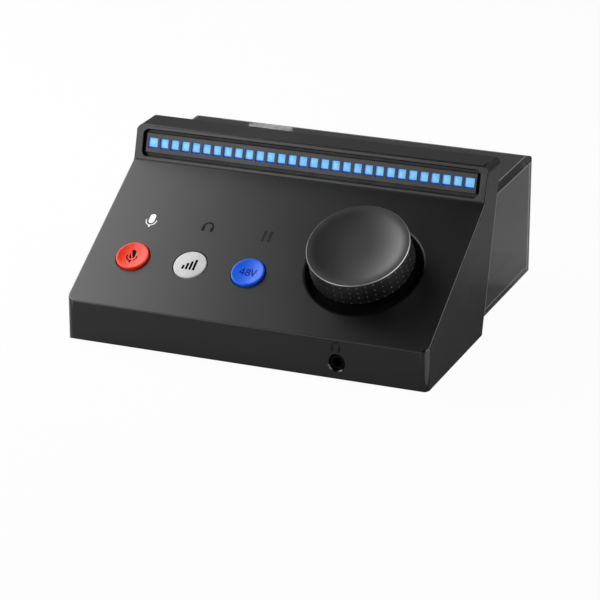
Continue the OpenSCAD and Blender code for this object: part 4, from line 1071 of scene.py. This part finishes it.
def screwModel(length):
    s = screw
    dome = [(0, 1.0), (0.4, 0.97), (0.65, 0.87), (0.85, 0.68), (0.96, 0.43), (1.0, 0.14), (1.0, 0)]
    profile = [(r * s["headRadius"], z * s["headHeight"]) for r, z in dome]
    profile += [(s["shankRadius"], 0), (s["shankRadius"], -length), (0, -length)]
    head = linkMesh("screw model", meshFrom(lathe(profile, 36), "screw model"))
    cutter = linkMesh("cross cutter", meshFrom(crossCutter(), "cross cutter"))
    cut = head.modifiers.new("cross", "BOOLEAN")
    cut.operation, cut.object, cut.solver = "DIFFERENCE", cutter, "EXACT"
    made = bpy.data.meshes.new_from_object(head.evaluated_get(bpy.context.evaluated_depsgraph_get()))
    bpy.data.objects.remove(head)
    bpy.data.objects.remove(cutter)
    bm = bmesh.new()
    bm.from_mesh(made)
    return bm


def screwPlaces(node, axis, pairs):  # seats of the heads, from the corners of the node's box
    low, high = [Vector(c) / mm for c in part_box(node)]
    inset, deep = screw["headRadius"], abs(axis) - 1
    top, end = (high, low) if axis > 0 else (low, high)
    seat = top[deep] - math.copysign(screw["headHeight"], axis)
    places = []
    for pair in pairs:
        spot = Vector()
        spot[deep] = seat
        for k, side in zip([k for k in range(3) if k != deep], pair):
            spot[k] = high[k] - inset if side > 0 else low[k] + inset
        places.append(spot)
    return places, abs(seat - end[deep])


def makeScrews():
    corners = [(-1, -1), (-1, 1), (1, -1), (1, 1)]
    groups = [
        ("rear_panel_screws", 2, faceBack, corners),
        ("combo_screws", 2, faceBack, [(-1, -1), (1, 1)]),
        ("base_screws", -3, faceDown, corners),
    ]
    for node, axis, turn, pairs in groups:
        places, length = screwPlaces(node, axis, pairs)
        local = [turn.inverted() @ p for p in places]
        stamp("cross_" + node, screwModel(length), local, turn, "screw", [node], 40)


makeScrews()
print("screws made")


# sockets and feet: solids with their edges broken, and gold contacts

broken = [  # node, piece, finish, slot, width of the broken edges and their reach from the back in mm
    ("line_out_nuts", "line_out_hex_nuts", "nickel", "nickel", 0.3, None),
    ("line_out_left", "line_out_nose_left", "socket", "socket_black", 0.35, 0.5),
    ("line_out_right", "line_out_nose_right", "socket", "socket_black", 0.35, 0.5),
    ("usb_socket", "usb_mouth", "nickel", "nickel", 0.1, 2.2),
    ("combo_shell", "combo_frame", "socket", "socket_black", 0.4, 0.5),
    ("combo_insert", "combo_core", "socket", "socket_black", 0.2, 9),
    ("front_feet", "front_pads", "rubber", "foot_rubber", 0.35, None),
    ("rear_feet", "rear_pads", "rubber", "foot_rubber", 0.35, None),
]
contact = {
    "width": 0.3, "length": 3.4, "thick": 0.06, "edge": 0.025, "pitch": 0.5, "count": 12, "back": 0.5,
}
sleeve = {"bore": 1.02, "radius": 1.28, "length": 6.0, "set": 1.2, "circle": 5.6, "turns": (90, 210, 330)}


def contactBlock():
    bm = bmesh.new()
    bmesh.ops.create_cube(bm, size=1)
    bmesh.ops.scale(bm, verts=bm.verts, vec=(contact["width"], contact["length"], contact["thick"]))
    bmesh.ops.bevel(bm, geom=bm.edges[:], offset=contact["edge"], segments=1, profile=0.5, affect="EDGES")
    return bm


def makeSockets():
    for row in broken:
        dressNode(*row)

    low, high = [Vector(c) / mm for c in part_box("usb_tongue")]
    middle = (low + high) / 2
    spots = []
    for i in range(contact["count"]):
        x = middle.x + (i - (contact["count"] - 1) / 2) * contact["pitch"]
        spots += [(x, middle.y + contact["back"], z) for z in (low.z, high.z)]
    stamp("usb_contacts", contactBlock(), spots, Matrix(), "gold")

    low, high = [Vector(c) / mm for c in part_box("combo_insert")]
    middle = (low + high) / 2
    bore, radius, deep = sleeve["bore"], sleeve["radius"], -sleeve["length"]
    spots = []
    for a in map(math.radians, sleeve["turns"]):
        ahead = Vector((sleeve["circle"] * math.cos(a), 0, sleeve["circle"] * math.sin(a)))
        spots.append(faceBack.inverted() @ (Vector((middle.x, high.y - sleeve["set"], middle.z)) + ahead))
    ring = [(bore, deep), (radius, deep), (radius, 0), (bore, 0)]
    stamp("combo_pin_sleeves", lathe(ring, 24, True), spots, faceBack, "gold", (), 40)


makeSockets()
print("sockets and feet made")


# plain finishes for the pieces whose solids are right as they are

plainFinish = {
    "shell": ["base_plate"],
    "plate": ["rear_panel"],
    "board": ["led_board", "control_board", "jack_board", "main_board"],
    "ledCase": ["led_chips", "icon_leds"],
    "switchCase": ["mute_switch", "level_switch", "phantom_switch"],
    "guide": ["icon_light_guides"],
    "zinc": ["encoder_case"],
    "nickel": ["encoder_nut", "encoder_shaft"],
    # the ring inside the jack hole gets the dark plate of painted shade
    "jackRingShade": ["jack_ring"],
    "nylon": ["mute_plunger", "level_plunger", "phantom_plunger", "ribbon_sockets"],
    "socket": ["usb_tongue"],
    # the jack's body takes the well's painted shade
    "well": ["headphone_jack"],
    "chip": ["main_chips"],
    "can": ["main_capacitors"],
    "ribbon": ["main_ribbon", "led_ribbon", "jack_ribbon"],
    "screw": ["control_screws", "cover_screws", "main_board_screws", "jack_board_screws"],
}


def dressPlain():
    for name, nodes in plainFinish.items():
        for node in nodes:
            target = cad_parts[node]
            if not target.material_slots:
                target.data.materials.append(finish[name])
            for slot in target.material_slots:
                slot.material = finish[name]


dressPlain()
print("solids dressed:", sum(len(nodes) for nodes in plainFinish.values()))
